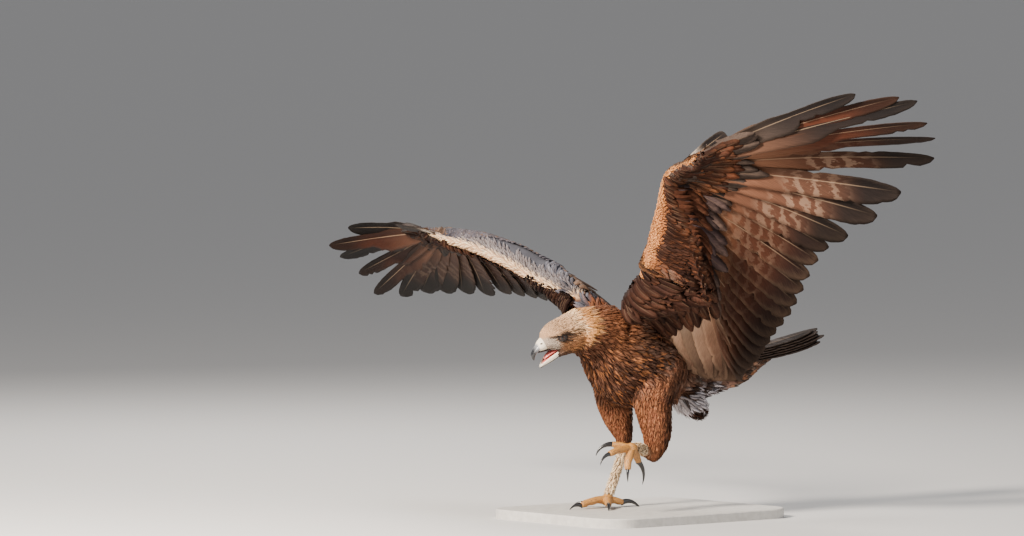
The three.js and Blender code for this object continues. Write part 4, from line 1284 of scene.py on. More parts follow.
    # The small feathers along the front edge of each wing
    margin = np.zeros((count, 2))
    for i, name in enumerate(WING):
        near, away = from_edge(points, name)
        edge = FRONT_EDGES[name]
        on_arm = share[f"arm_{name}"] + share["trunk"] * 0.5
        reach = MARGIN["reach"][name] * ramp(-1, 5, edge["number"])[near]
        amount = ramp(reach, reach - 8, away) * (on_arm > 0.55)
        margin[:, i] = amount
        height_on = ((points - edge["point"][near]) * edge["up"][near]).sum(axis=1)
        lie = edge["back"][near] * 0.7 + edge["out"][near] * 0.75
        size = size * (1 - amount[:, None]) + amount[:, None] * np.array(
            [MARGIN["spacing"], MARGIN["long"], MARGIN["half"], MARGIN["lift"], 0.45]
        )
        flow = mix(flow, lie, amount[:, None])
        top = ramp(-3, 5, height_on)[:, None]
        under = ramp(-4, -12, height_on)[:, None]
        hand = ramp(WRIST + 1, WRIST - 1, edge["number"][near])[:, None]
        if name == "left":
            root = mix(np.tile((0.34, 0.13, 0.045), (count, 1)), (0.2, 0.07, 0.026), under)
            tip = mix(np.tile((0.68, 0.32, 0.12), (count, 1)), (0.42, 0.16, 0.055), under)
            root = mix(root, (0.16, 0.065, 0.03), hand * under)
        else:
            root = mix(np.tile((0.5, 0.3, 0.17), (count, 1)), (0.1, 0.04, 0.02), under)
            tip = mix(np.tile((0.9, 0.7, 0.48), (count, 1)), (0.3, 0.13, 0.06), under)
            # On the right wing the top of the edge turns bluish grey: a painted reflection of the sky
            root = mix(root, SLATE_AND_SKY_SHEEN, top * 0.9)
            tip = mix(tip, PALE_SKY_SHEEN, top * 0.9)
        tint = mix(tint, root, amount[:, None])
        fringe = mix(fringe, tip, amount[:, None])
    return {
        "part": part,
        "flow": unit(flow),
        "spacing": size[:, 0],
        "long": size[:, 1],
        "half": size[:, 2],
        "lift": size[:, 3],
        "round": size[:, 4],
        "tint": tint,
        "fringe": fringe,
        "margin": margin,
        "place": places,
        "head": head,
        "vary": 0.12 + 0.18 * np.clip(share["trunk"] + share["rump"], 0, 1),
        "accent": np.tile(ORANGE, (count, 1)) * 1.05,
        "odds": 0.2 * share["trunk"] * ramp(0, -60, points[:, 1]) * ramp(0.8, 0.3, height),
        "even": 0.75 * np.clip(share["head"] + share["neck"] * 0.4 + margin.max(axis=1), 0, 1),
    }


# Evenly scattered roots, closer where the feathers are smaller
def scatter(seed):
    SKIN_MESH.calc_loop_triangles()
    corners = np.empty(len(SKIN_MESH.loop_triangles) * 3, np.int32)
    SKIN_MESH.loop_triangles.foreach_get("vertices", corners)
    spots = points_of(SKIN_MESH) / MM
    facing = points_of(SKIN_MESH, "normal")
    corners = corners.reshape(-1, 3)
    triangle = spots[corners]
    sides = triangle[:, 1:] - triangle[:, :1]
    area = np.linalg.norm(np.cross(sides[:, 0], sides[:, 1]), axis=1) / 2
    middle = triangle.mean(axis=1)
    spacing = coat_at(middle, unit(facing[corners].mean(axis=1)))["spacing"]
    density = area / spacing**2
    rng = np.random.default_rng(seed)
    picked = rng.choice(len(area), int(density.sum() * 3), p=density / density.sum())
    a, b = rng.random((2, len(picked), 1))
    folded = a + b > 1
    a, b = np.where(folded, 1 - a, a), np.where(folded, 1 - b, b)
    corner = triangle[picked]
    points = corner[:, 0] + a * (corner[:, 1] - corner[:, 0]) + b * (corner[:, 2] - corner[:, 0])
    normals = unit(facing[corners[picked]].mean(axis=1))
    reach = spacing[picked] * 0.74
    cell = 4.0
    taken = {}
    kept = []
    for i, (x, y, z) in enumerate(points.tolist()):
        r = reach[i]
        n = int(r // cell) + 1
        cx, cy, cz = int(x // cell), int(y // cell), int(z // cell)
        free = True
        for ix in range(cx - n, cx + n + 1):
            for iy in range(cy - n, cy + n + 1):
                for iz in range(cz - n, cz + n + 1):
                    for px, py, pz in taken.get((ix, iy, iz), ()):
                        if (px - x) ** 2 + (py - y) ** 2 + (pz - z) ** 2 < r * r:
                            free = False
                            break
                    if not free:
                        break
                if not free:
                    break
            if not free:
                break
        if free:
            taken.setdefault((cx, cy, cz), []).append((x, y, z))
            kept.append(i)
    return points[kept], normals[kept]


def nearest(points):
    spots = np.empty_like(points)
    facing = np.empty_like(points)
    for i, point in enumerate(points * MM):
        spot, normal, _, _ = SKIN_TREE.find_nearest(point)
        spots[i] = spot
        facing[i] = normal
    return spots / MM, facing


# Vanes that lie along the skin from their roots
def grown(name, roots, normals, coat, stations, seed, material, patch):
    rng = np.random.default_rng(seed)
    count = len(roots)
    turn = rng.normal(0, 0.15, count)[:, None]
    heading = coat["flow"] - normals * (coat["flow"] * normals).sum(1, keepdims=True)
    heading = unit(heading)
    heading = unit(heading * np.cos(turn) + np.cross(normals, heading) * np.sin(turn))
    long = coat["long"] * rng.uniform(0.8, 1.18, count)
    lift = coat["lift"] * rng.uniform(0.6, 1.4, count)
    half = coat["half"] * rng.uniform(0.85, 1.15, count)
    roll = rng.normal(0, 0.14, count)[:, None]
    narrow = vane_outline("lance", stations)
    blunt = vane_outline("blunt", stations)
    shape = narrow + (blunt - narrow) * coat["round"][:, None]
    line = np.empty((count, stations, 3))
    side = np.empty_like(line)
    out = np.empty_like(line)
    at, facing = roots.copy(), normals.copy()
    for s in range(stations):
        share = s / (stations - 1)
        if s:
            at, near = nearest(at + heading * (long / (stations - 1))[:, None])
            facing = unit(facing * 0.4 + near * 0.6)
            heading = unit(heading - facing * (heading * facing).sum(1, keepdims=True))
        height = -1.4 + (lift + 1.4) * share**0.85
        across = np.cross(facing, heading)
        line[:, s] = at + facing * height[:, None]
        side[:, s] = unit(across * np.cos(roll) + facing * np.sin(roll))
        out[:, s] = np.cross(heading, side[:, s])
    chance = rng.random(count)
    patchy = 0.3 * drift(roots, 46, 3)
    shade = (1 + coat["vary"] * rng.normal(size=count) + patchy).clip(0.35, 1.9)[:, None]
    bright = (0.1 + 1.1 * rng.random(count) ** 1.9)[:, None]
    bright = np.maximum(bright, coat["even"][:, None])
    tip = mix(coat["tint"] * 1.15, coat["fringe"], bright)
    chosen = (rng.random(count) < coat["odds"])[:, None]
    tip = np.where(chosen, coat["accent"], tip)
    mesh = vane_mesh(
        name, line, side, out, half[:, None] * shape, 0.22, 0.5,
        (coat["tint"] * shade).clip(0.004, 0.85), (tip * shade).clip(0.004, 0.9), chance, patch,
    )
    return link(name, mesh, material)


# Where a root lies on an unwrap of its own part: round the part's line and along it
def unwrapped(points, part_name, place):
    rows = np.array(COAT_LINES[part_name], float)
    t = place * (len(rows) - 1)
    middle = np.stack([np.interp(t, np.arange(len(rows)), rows[:, i]) for i in range(3)], 1)
    run = unit(rows[-1, :3] - rows[0, :3])
    across = unit(np.cross(run, (0.31, 0.2, 0.93)))
    other = np.cross(run, across)
    away = points - middle
    turn = np.arctan2(away @ other, away @ across) / (2 * math.pi) + 0.5
    return np.stack([0.02 + 0.96 * turn, 0.02 + 0.96 * place], 1)


def taken_rows(coat, chosen):
    return {key: (value[:, chosen] if key == "place" else value[chosen]) for key, value in coat.items()}


# Stations along each feather, material and slot
COAT_KINDS = {
    "head": (4, HACKLE, "hackles"),
    "neck": (6, HACKLE, "hackles"),
    "trunk": (5, FEATHER, "body_feathers"),
    "rump": (6, FEATHER, "body_feathers"),
    "thigh": (5, FEATHER, "trouser_feathers"),
    "shank": (4, DOWN, "shank_feathers"),
    "arm": (5, FEATHER, "body_feathers"),
}


def grow_coat():
    points, normals = scatter(11)
    coat = coat_at(points, normals)
    head = coat["head"]
    out, forward, tall = np.abs(head[:, 0]), head[:, 1], head[:, 2]
    bare = (forward < -31.5) & (out < 30) & (forward > -80) & (tall < 14 + 0.5 * (forward + 30))
    mouth = (forward < -6) & (np.abs(tall + 21.5 - 0.1 * forward) < 4.5) & (out < 24)
    mouth |= (forward < -10) & (tall > -34) & (tall < -14) & (out < 9)
    socket = np.zeros(len(points), bool)
    for side in (-1, 1):
        past, distance = past_lids(head, side)
        socket |= (past < 4) & (distance < 16)
    margin = coat["margin"].max(axis=1) > 0.5
    far_arm = np.zeros(len(points), bool)
    for name in ("arm_left", "arm_right"):
        i = PARTS.index(name)
        far_arm |= (coat["part"] == i) & (coat["place"][i] > 0.66)
    usable = ~(bare | socket | mouth | margin | far_arm)
    for i, name in enumerate(PARTS):
        stations, look, slot = COAT_KINDS[name.split("_")[0]]
        for half_name, half in (("left", points[:, 0] >= 0), ("right", points[:, 0] < 0)):
            chosen = usable & (coat["part"] == i)
            piece_name = f"{name}_feathers"
            if name == "trunk":
                chosen &= half
                piece_name = f"trunk_feathers_{half_name}"
            elif half_name == "right":
                continue
            if not chosen.any():
                continue
            patch = unwrapped(points[chosen], name, coat["place"][i][chosen])
            grown(
                piece_name, points[chosen], normals[chosen], taken_rows(coat, chosen),
                stations, 100 + i, look, patch,
            )
            print("coat", piece_name, int(chosen.sum()))
    for i, name in enumerate(WING):
        chosen = coat["margin"][:, i] > 0.5
        near, away = from_edge(points[chosen], name)
        patch = np.stack([(FRONT_EDGES[name]["number"][near] + 1) / 32, 0.2 + away / 60], 1)
        grown(
            f"margin_feathers_{name}", points[chosen], normals[chosen], taken_rows(coat, chosen),
            4, 150 + i, FEATHER, patch,
        )
        print("margin", name, int(chosen.sum()))


skin_coat = coat_at(points_of(SKIN_MESH) / MM, points_of(SKIN_MESH, "normal"))
# Painted shade: the bare skin is darkened a fifth for the gaps between feathers, and near black inside the
# gape
mouth_shade = within(skin_coat["head"][:, 2], -36, -15, 2) * ramp(-4, -12, skin_coat["head"][:, 1])
mouth_shade *= np.abs(skin_coat["head"][:, 0]) < 22
paint(SKIN_MESH, "Tint", mix(skin_coat["tint"] * 0.8, (0.02, 0.006, 0.006), mouth_shade[:, None]))
skin = link("skin", SKIN_MESH, UNDERCOAT)
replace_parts(skin, *FLESH, "tail", "wing_left_arm", "wing_left_hand", "wing_right_arm", "wing_right_hand")
grow_coat()


# Wing coverts, laid in rows on both faces of each wing
UPPER_COVERTS = {
    "greater": (MANTLE, GREY_BROWN),
    "median": (mix(MANTLE, GREY_BROWN, 0.5), TAN),
    "lesser": (mix(UMBER, TAN, 0.3), GOLD),
}
# Share of brightness kept by the right wing's under coverts: painted shade on the far wing
FAR_WING_PAINTED_SHADE = 0.42


def covert_colours(name, face, row, k, points, rng):
    count = len(points)
    k = np.asarray(k)
    hand = ramp(WRIST + 1, WRIST - 1.5, k)[:, None]
    inner = ramp(ELBOW - 3, ELBOW + 3, k)[:, None]
    kind = row["kind"]
    plain = np.ones((count, 1))
    if face > 0:
        tint, fringe = UPPER_COVERTS[kind]
        tint = plain * tint
        fringe = mix(tint, fringe, 0.7 * (1 - 0.7 * hand))
        # The right wing's upper lesser coverts turn bluish grey: a painted reflection of the sky
        if name == "right" and kind == "lesser":
            tint = mix(tint, SLATE_AND_SKY_SHEEN, 0.92)
            fringe = mix(fringe, PALE_SKY_SHEEN, 0.9)
    elif kind == "greater":
        tint = mix(plain * mix(UMBER, SLATE_AND_SKY_SHEEN, 0.3), (0.05, 0.035, 0.029), hand)
        tint = mix(tint, mix(TAN, GREY_BROWN, 0.6), inner)
        fringe = mix(mix(tint, (0.15, 0.095, 0.07), 0.7), (0.028, 0.022, 0.02), hand * 0.7)
    elif kind == "median":
        tint = mix(plain * mix(CHOCOLATE, RUFOUS, 0.2), CHOCOLATE, hand)
        fringe = mix(plain * mix(RUFOUS, GREY_BROWN, 0.3), mix(CHOCOLATE, RUFOUS, 0.4), hand)
    elif kind == "axillar":
        tint = plain * mix(DARK, CHOCOLATE, 0.6)
        fringe = plain * mix(mix(RUFOUS, GREY_BROWN, 0.3), UMBER, 0.75)
    else:
        tint = plain * mix(DARK, UMBER, 0.4)
        orange = 0.04 + 0.34 * hand * rng.random((count, 1)) ** 2
        fringe = mix(plain * mix(UMBER, RUFOUS, 0.35), ORANGE, orange)
    patchy = 0.32 * drift(points, 70, 5)
    shade = (1 + 0.22 * rng.normal(size=count) + patchy).clip(0.4, 1.8)[:, None]
    bright = 0.15 + 0.95 * rng.random((count, 1)) ** 1.8
    fringe = mix(tint * 1.2, fringe, bright)
    # Painted shade: the right wing's under coverts are darkened
    if face < 0 and name == "right":
        shade = shade * FAR_WING_PAINTED_SHADE
    return (tint * shade).clip(0.004, 0.85), (fringe * shade).clip(0.004, 0.9)


def even_numbers(wing, behind, gap, low, high):
    numbers = np.linspace(low, high, 120)
    spots = np.array([wing.root(k) + wing.lie(k)[0] * behind for k in numbers])
    run = np.concatenate([[0], np.cumsum(np.linalg.norm(np.diff(spots, axis=0), axis=1))])
    count = max(2, int(run[-1] / gap))
    return np.interp(np.linspace(0, run[-1], count), run, numbers)


def covert_rows(name, face, rows, piece_name, seed, outline="blunt"):
    wing = WING[name]
    rng = np.random.default_rng(seed)
    parts = {key: [] for key in ("line", "side", "out", "half", "tint", "fringe", "patch")}
    stations = 10
    t = np.linspace(0, 1, stations)
    shape = vane_outline(outline, stations)
    for row in rows:
        spots, numbers, starts = [], [], []
        low = ELBOW - row["from"] if "from" in row else (0.8 if face > 0 else -0.3)
        middle = row["start"] + 0.5 * row.get("long", 240 * row.get("share", 0))
        high = ELBOW + 2.2 if row["kind"] == "lesser" else INNERMOST + 0.6
        for k in even_numbers(wing, max(middle, 20) + 20, row["gap"], low, high):
            start = row["start"] + row.get("on", 0) * float(ramp(WRIST + 1.5, WRIST - 2, k))
            if row.get("index", 0):
                clear_edge = LESSER["edge"] * float(ramp(20, 60, wing.width(k)))
                step = (start + wing.width(k) - 4 - clear_edge) / (LESSER["rows"] - 1)
                if row["index"] % max(1, round(LESSER["closest"] / step)):
                    continue
                start -= step * row["index"]
            numbers.append(k + rng.normal(0, 0.05))
            starts.append(start + rng.normal(0, 2.2))
        for k, start in zip(numbers, starts):
            long = row.get("long") or row["share"] * min(wing.lie(k)[1], 420) * (0.85 if k < 5 else 1)
            long *= rng.uniform(0.86, 1.12)
            lift = np.interp(t, [0, 1], row["lift"]) * rng.uniform(0.75, 1.3)
            points, edge, out = wing.on_face(k, start + t * long, face, lift)
            tangent = unit(np.gradient(points, axis=0))
            side = edge - tangent * (tangent @ edge)[:, None]
            side = unit(side)
            sway = rng.normal(0, 0.05) * long
            points = points + side * (sway * t**2)[:, None]
            tilt = SHINGLE_TILT * face + rng.normal(0, 0.06)
            facing = np.cross(tangent, side)
            facing *= np.sign((facing * out).sum(1, keepdims=True))
            side = side * math.cos(tilt) + facing * math.sin(tilt)
            facing = np.cross(tangent, side)
            facing *= np.sign((facing * out).sum(1, keepdims=True))
            parts["line"].append(points)
            parts["side"].append(side)
            parts["out"].append(facing)
            wide = row["wide"] * rng.uniform(0.88, 1.12) * (0.72 if face > 0 and k < 4 else 1)
            parts["half"].append(0.5 * wide * shape)
            spots.append(points[0])
            parts["patch"].append([(k + 1) / 30, 0.98 - (start + 180) / 240])
        if not spots:
            continue
        tint, fringe = covert_colours(name, face, row, numbers, np.array(spots), rng)
        parts["tint"].append(tint)
        parts["fringe"].append(fringe)
    mesh = vane_mesh(
        piece_name, np.array(parts["line"]), np.array(parts["side"]), np.array(parts["out"]),
        np.array(parts["half"]), 0.16, 0.5, np.concatenate(parts["tint"]),
        np.concatenate(parts["fringe"]), rng.random(len(parts["line"])), np.array(parts["patch"]),
    )
    print("coverts", piece_name, len(parts["line"]))
    return link(piece_name, mesh, FEATHER)


for number, name in enumerate(WING):
    covert_rows(name, 1, COVERT_ROWS["upper"], f"coverts_upper_{name}", 200 + number)
    covert_rows(name, -1, COVERT_ROWS["under"], f"coverts_under_{name}", 210 + number)
    covert_rows(name, -1, AXILLARS, f"axillar_feathers_{name}", 220 + number)


# Large stiff feathers: rows and columns of points on both faces, notched along the edges.
# Each face has the colours of its root, web and tip, and of the pale bars across it.
FLIGHT_GRID = {"stations": 36, "columns": 9}


def primary_outline(t, notch):
    base = 0.3 + 0.7 * t**0.8 * (2 - t**0.8)
    tip = np.sqrt(np.maximum(0.006, 1 - np.maximum(0, (t - 0.74) / 0.26) ** 2))
    lead = base * tip * (1 - 0.35 * notch * ramp(0.4, 0.56, t))
    trail = base * tip * (1 - 0.5 * notch * ramp(0.46, 0.62, t))
    return lead, trail


def secondary_outline(t):
    tip = np.sqrt(np.maximum(0.006, 1 - np.maximum(0, (t - 0.8) / 0.2) ** 2.4))
    width = (0.4 + 0.6 * np.minimum(1, 1.8 * t)) * tip
    return width, width


def tail_outline(t):
    tip = np.sqrt(np.maximum(0.004, 1 - np.maximum(0, (t - 0.66) / 0.34) ** 1.5))
    width = (0.4 + 0.6 * np.minimum(1, 1.8 * t)) * tip
    return width, width


def blade_mesh(name, blades, seed):
    rng = np.random.default_rng(seed)
    stations, columns = FLIGHT_GRID["stations"], FLIGHT_GRID["columns"]
    half = columns // 2
    t = np.linspace(0, 1, stations)
    t = t * 0.86 + 0.14 * (1 - (1 - t) ** 2.2)
    u = np.linspace(-1, 1, columns)
    spots, tints, fringes, pales, mottles, maps, chances, patches = ([] for _ in range(8))
    faces = []
    grid = np.arange(stations * columns).reshape(stations, columns)
    a, b = grid[:-1, :-1].ravel(), grid[:-1, 1:].ravel()
    c, d = grid[1:, 1:].ravel(), grid[1:, :-1].ravel()
    top = np.stack([a, b, c, d], 1)
    per_face = stations * columns
    rim = np.concatenate([grid[0, :], grid[1:, -1], grid[-1, -2::-1], grid[-2:0:-1, 0]])
    after = np.roll(rim, -1)
    wall = np.stack([rim, rim + per_face, after + per_face, after], 1)
    under = top[:, ::-1] + per_face
    one = np.concatenate([top, under, wall])
    for index, blade in enumerate(blades):
        lead, trail = blade["outline"](t)
        ahead_wide = blade["lead"] * lead
        behind_wide = blade["trail"] * trail
        for wide, splits in ((ahead_wide, 2), (behind_wide, 4)):
            for _ in range(rng.integers(0, splits + 1)):
                at = rng.integers(int(stations * 0.3), stations - 4)
                wide[at] *= rng.uniform(0.78, 0.92)
            wide *= 1 + 0.02 * rng.normal(size=stations)
        width = np.where(u[None] > 0, ahead_wide[:, None], behind_wide[:, None]) * u[None]
        away = np.abs(width)
        slant = 0.45 * away * (1 - t[:, None]) ** 0.25
        long, up, edge = blade["long"], blade["up"], blade["edge"]
        sweep = blade.get("sweep", 0.0) * long * t**2
        bow = blade["bow"] * np.sin(math.pi * t)
        cup = -blade.get("cup", 0.1) * away * np.abs(u[None]) * np.minimum(1, 2 * t[:, None])
        place = blade["root"] + blade["ahead"] * (long * t)[:, None] + up * bow[:, None]
        place = place - edge * sweep[:, None]
        body = (
            place[:, None]
            + edge * width[..., None]
            + blade["ahead"] * np.minimum(slant, long * (1 - t[:, None]))[..., None]
            + up * cup[..., None]
        )
        on_shaft = np.where(np.arange(columns) == half, 1.0, 0.0)
        thick = 0.22 + on_shaft[None] * (1.3 * (1 - t[:, None]) ** 0.7 + 0.1)
        spots.append((body + up * thick[..., None]).reshape(-1, 3))
        spots.append((body - up * thick[..., None]).reshape(-1, 3))
        across = np.broadcast_to((u[None] + 1) / 2, (stations, columns)).ravel()
        down = np.broadcast_to(t[:, None], (stations, columns)).ravel()
        maps.append(np.tile(np.stack([across, down], 1), (2, 1)))
        edge_share = np.broadcast_to(np.abs(u[None]), (stations, columns)).ravel()
        trailing = np.broadcast_to(ramp(0.25, -0.25, u)[None], (stations, columns)).ravel()
        rim = np.maximum(ramp(0.72, 0.98, edge_share), ramp(0.965, 0.995, down))[:, None]
        start, end = blade["bars"]
        band = ramp(start, start + 0.1, down) * ramp(end + 0.12, end, down) * (0.35 + 0.65 * trailing)
        for key in ("top", "under"):
            look = blade[key]
            web = mix(np.tile(look["root"], (per_face, 1)), look["web"], ramp(0.16, 0.56, down)[:, None])
            web = mix(web, look["tip"], ramp(*blade["dark"], down)[:, None])
            web = mix(web, CHOCOLATE, ramp(0.13, 0.07, down)[:, None])
            web = web * (0.62 + 0.6 * trailing)[:, None]
            tints.append(mix(web, EDGE_PALE, rim * look["rim"]))
            fringes.append(mix(np.tile(look["tip"], (per_face, 1)), EDGE_PALE, 0.5 * look["rim"]))
            pales.append(np.tile(look["pale"], (per_face, 1)))
            mottles.append(band * look["mottle"])
        chances.append(np.full(2 * per_face, rng.random()))
        patches.append(np.tile([(index + 0.5) / len(blades), 0.5], (2 * per_face, 1)))
        faces.append(one + index * 2 * per_face)
    faces = np.concatenate(faces)
    mesh = bpy.data.meshes.new(name)
    spots = np.concatenate(spots) * MM
    mesh.vertices.add(len(spots))
    mesh.vertices.foreach_set("co", spots.astype(np.float32).ravel())
    mesh.loops.add(faces.size)
    mesh.loops.foreach_set("vertex_index", faces.astype(np.int32).ravel())
    mesh.polygons.add(len(faces))
    mesh.polygons.foreach_set("loop_start", np.arange(0, faces.size, 4, dtype=np.int32))
    mesh.update(calc_edges=True)
    mesh.validate()
    shape = bmesh.new()
    shape.from_mesh(mesh)
    bmesh.ops.recalc_face_normals(shape, faces=shape.faces)
    shape.to_mesh(mesh)
    shape.free()
    maps = np.concatenate(maps)
    add_map(mesh, "Vane", maps)
    add_map(mesh, "OFBake", np.concatenate(patches) + (maps - 0.5) * 0.003)
    paint(mesh, "Tint", np.concatenate(tints))
    paint(mesh, "Fringe", np.concatenate(fringes))
    paint(mesh, "Pale", np.concatenate(pales))
    paint(mesh, "Mottle", np.concatenate(mottles))
    paint(mesh, "Chance", np.concatenate(chances))
    return mesh


def tilted(edge, up, angle):
    return edge * math.cos(angle) + up * math.sin(angle), up * math.cos(angle) - edge * math.sin(angle)


def under_look(k):
    rows = [(row[0], *row[1], *row[2], *row[3], row[4]) for row in UNDER_LOOKS]
    numbers = [row[0] for row in rows]
    values = np.array([np.interp(k, numbers, [row[i] for row in rows]) for i in range(1, 11)])
    return values[0:3], values[3:6], values[6:9], float(values[9])


def flight_blades(name, wing, rng):
    blades = []
    for k in range(INNERMOST + 1):
        root, ahead, long, edge, up = wing.place(k)
        edge, up = tilted(edge, up, SHINGLE_TILT)
        notch = 1 - float(ramp(3.5, 6.5, k))
        primary = k < PRIMARIES
        fuller = 1 + 0.2 * float(ramp(3, 7, k))
        # The right wing's undersides are painted far darker than the left's: painted shade on the far wing;
        # the spread is random tone
        shade = rng.uniform(0.8, 1.15) * (0.36 if name == "right" else 0.82)
        # Alternate tertials are painted darker and lighter: painted shade and light between the overlapping
        # feathers
        if k >= ELBOW + 1:
            shade *= 0.55 if k % 2 else 1.1
        base, web, tip, mottle = under_look(k)
        far = float(ramp(ELBOW - 2, INNERMOST, k))
        top_web = mix(MANTLE, ASH_BROWN, 0.3 + 0.3 * far) * rng.uniform(0.85, 1.15)
        blades.append({
            "root": root - ahead * 8,
            "ahead": ahead,
            "edge": edge,
            "up": up,
            "long": long + 8,
            "lead": 16 * fuller if primary else 14,
            "trail": 36 if primary else 29,
            "outline": (lambda t, n=notch: primary_outline(t, n)) if primary else secondary_outline,
            "bow": CAMBER,
            "dark": (0.62, 0.84) if primary else (0.66 - 0.2 * far, 0.92),
            "bars": (0.4, 0.66) if primary else (0.22, 0.7),
            "top": {
                "root": top_web * 1.4,
                "web": top_web,
                "tip": mix(DARK, MANTLE, 0.5),
                "pale": GREY_BROWN,
                "mottle": 0.35,
                "rim": 0.1,
            },
            "under": {
                "root": base * shade,
                "web": web * shade,
                "tip": tip * shade,
                "pale": mix(web * 1.8, (0.6, 0.42, 0.3), 0.75) * min(1, shade),
                "mottle": mottle,
                "rim": (0.03 if primary else 0.12 + 0.4 * far) * min(1, shade),
            },
        })
    return blades


# The stiff feathers on the thumb, lifted off the hand's leading edge
def alula_blades(wing):
    blades = []
    for i in range(ALULA["count"]):
        root, _, _, edge, up = wing.place(WRIST - 2.6 - 0.5 * i)
        ahead = unit(wing.place(0)[1] + edge * (0.36 - 0.07 * i))
        across = unit(edge - ahead * edge.dot(ahead))
        out = unit(up - ahead * up.dot(ahead))
        look = {
            "root": (0.56, 0.47, 0.4),
            "web": (0.05, 0.037, 0.033),
            "tip": (0.016, 0.013, 0.013),
            "pale": (0.6, 0.5, 0.42),
            "mottle": 0.5,
            "rim": 0.05,
        }
        blades.append({
            "root": root + edge * (14 - 2 * i) - up * (3 - 2 * i),
            "ahead": ahead,
            "edge": across,
            "up": out,
            "long": ALULA["long"] - 16 * i,
            "lead": ALULA["lead"],
            "trail": ALULA["trail"],
            "outline": secondary_outline,
            "bow": 3,
            "cup": 0.05,
            "dark": (0.3, 0.6),
            "bars": (0.1, 0.3),
            "top": {**look, "root": (0.1, 0.07, 0.055), "web": (0.05, 0.035, 0.03), "mottle": 0.1},
            "under": look,
        })
    return blades


def tail_blades(rng):
    rise, roll = math.radians(TAIL["rise"]), math.radians(TAIL["roll"])
    axis = np.array([0, math.cos(rise), math.sin(rise)])
    left = np.array([math.cos(roll), 0, -math.sin(roll)])
    left = unit(left - axis * left.dot(axis))
    up = np.cross(left, axis)
    start = np.array(TAIL["root"], float) + axis * 18
    blades = []
    for i in range(2 * TAIL["pairs"]):
        side = -1 if i % 2 else 1
        share = (i // 2 + 0.5) / TAIL["pairs"]
        angle = math.radians(TAIL["spread"]) * share * side
        web = np.array(TAIL_DARK) * rng.uniform(0.85, 1.2)
        look = {
            "root": web * 3.2,
            "web": web * 1.6,
            "tip": web,
            "pale": mix(TAIL_DARK, SMOKE, 0.12),
            "mottle": 0.55,
            "rim": 0.03,
        }
        blades.append({
            "root": start + left * (side * 15 * share) - up * TAIL["step"] * (i - TAIL["pairs"]),
            "ahead": axis * math.cos(angle) + left * math.sin(angle),
            "edge": left * math.cos(angle) - axis * math.sin(angle),
            "up": up,
            "long": TAIL["long"] - 18 - 16 * share * share + rng.uniform(-24, 3),
            "lead": TAIL["half"],
            "trail": TAIL["half"],
            "outline": tail_outline,
            "bow": -4,
            "cup": 0.04,
            "dark": (0.6, 0.8),
            "bars": (0.2, 0.72),
            "top": {**look, "root": web * 2.4},
            "under": look,
        })
    return blades


rng = np.random.default_rng(5)
for name, wing in WING.items():
    blades = flight_blades(name, wing, rng) + alula_blades(wing)
    mesh = blade_mesh(f"flight_feathers_{name}", blades, 300)
    link(f"flight_feathers_{name}", mesh, VANES)
mesh = blade_mesh("tail_feathers", tail_blades(rng), 310)
link("tail_feathers", mesh, VANES)


# Bill, cere, tongue
BILL = {
    "slate": (0.23, 0.235, 0.25),
    "tip": (0.014, 0.0145, 0.017),
    "cream": (0.78, 0.68, 0.54),
    "cream_tip": (0.6, 0.53, 0.45),
    "keel": (0.03, 0.03, 0.034),
}
CERE_COLOURS = {
    "front": (0.8, 0.7, 0.55),
    "back": (0.6, 0.5, 0.4),
    "next_to_horn": (0.3, 0.29, 0.29),
    "nostril": (0.02, 0.014, 0.012),
}
MOUTH_COLOURS = {
    "tongue": (0.62, 0.13, 0.11),
    # The palate is painted near black: painted shade inside the open mouth
    "palate": (0.012, 0.004, 0.004),
    "floor": (0.5, 0.1, 0.08),
}


def tinted(mesh, colour_of):
    paint(mesh, "Tint", colour_of(points_of(mesh) / MM))


def bill_colour(points):
    head = in_head(points)
    dark = ramp(-47, -57, head[:, 1])[:, None]
    return mix(np.tile(BILL["slate"], (len(points), 1)), BILL["tip"], dark)


def lower_colour(points):
    head = in_head(points)
    keel = ramp(-40, -43, head[:, 2] - 0.3 * (head[:, 1] + 40))[:, None]
    ahead = ramp(-30, -46, head[:, 1])[:, None]
    horn = mix(np.tile(BILL["cream"], (len(points), 1)), BILL["cream_tip"], ahead)
    return mix(horn, BILL["keel"], keel)


def cere_colour(points):
    head = in_head(points)
    pit = np.abs(head) - np.array(NOSTRIL["at"])
    pit[:, 1] = head[:, 1] - NOSTRIL["at"][1]
    pit[:, 2] = head[:, 2] - NOSTRIL["at"][2]
    # The nostril's pit is painted near black: painted shade in the hollow
    inside = ramp(2.6, 1.4, np.linalg.norm(pit / np.array([3.0, 1.5, 0.8]), axis=1))[:, None]
    back = ramp(-30, -26, head[:, 1])[:, None]
    skin = mix(np.tile(CERE_COLOURS["front"], (len(points), 1)), CERE_COLOURS["back"], back)
    skin = mix(skin, CERE_COLOURS["next_to_horn"], ramp(-43.5, -46.5, head[:, 1])[:, None])
    return mix(skin, CERE_COLOURS["nostril"], inside)


def dented(mesh):
    for vert in mesh.vertices:
        spot = in_head(np.array([vert.co]) / MM)[0]
        gap = np.array([abs(spot[0]), spot[1], spot[2]]) - np.array(NOSTRIL["at"])
        near = math.exp(-(gap[0] / 4) ** 2 - (gap[1] / 2.6) ** 2 - (gap[2] / 1.1) ** 2)
        outward = HEAD_PLACE.to_3x3() @ Vector((math.copysign(1, spot[0]), 0, 0))
        vert.co -= Vector(outward) * near * 2.2 * MM


# The lower jaw hangs a little askew, its right rim the higher
JAW_ACROSS = (math.cos(math.radians(JAW_ROLL)), 0, -math.sin(math.radians(JAW_ROLL)))


def jaw_rims():
    rims = []
    for side in (-1, 1):
        rows = [
            (side * x, y, z + side * x * JAW_ACROSS[2], *rest) for x, y, z, *rest in LOWER_RIM_ROWS
        ]
        rims.append(tube_rings(rows, 12, 22))
    return rims


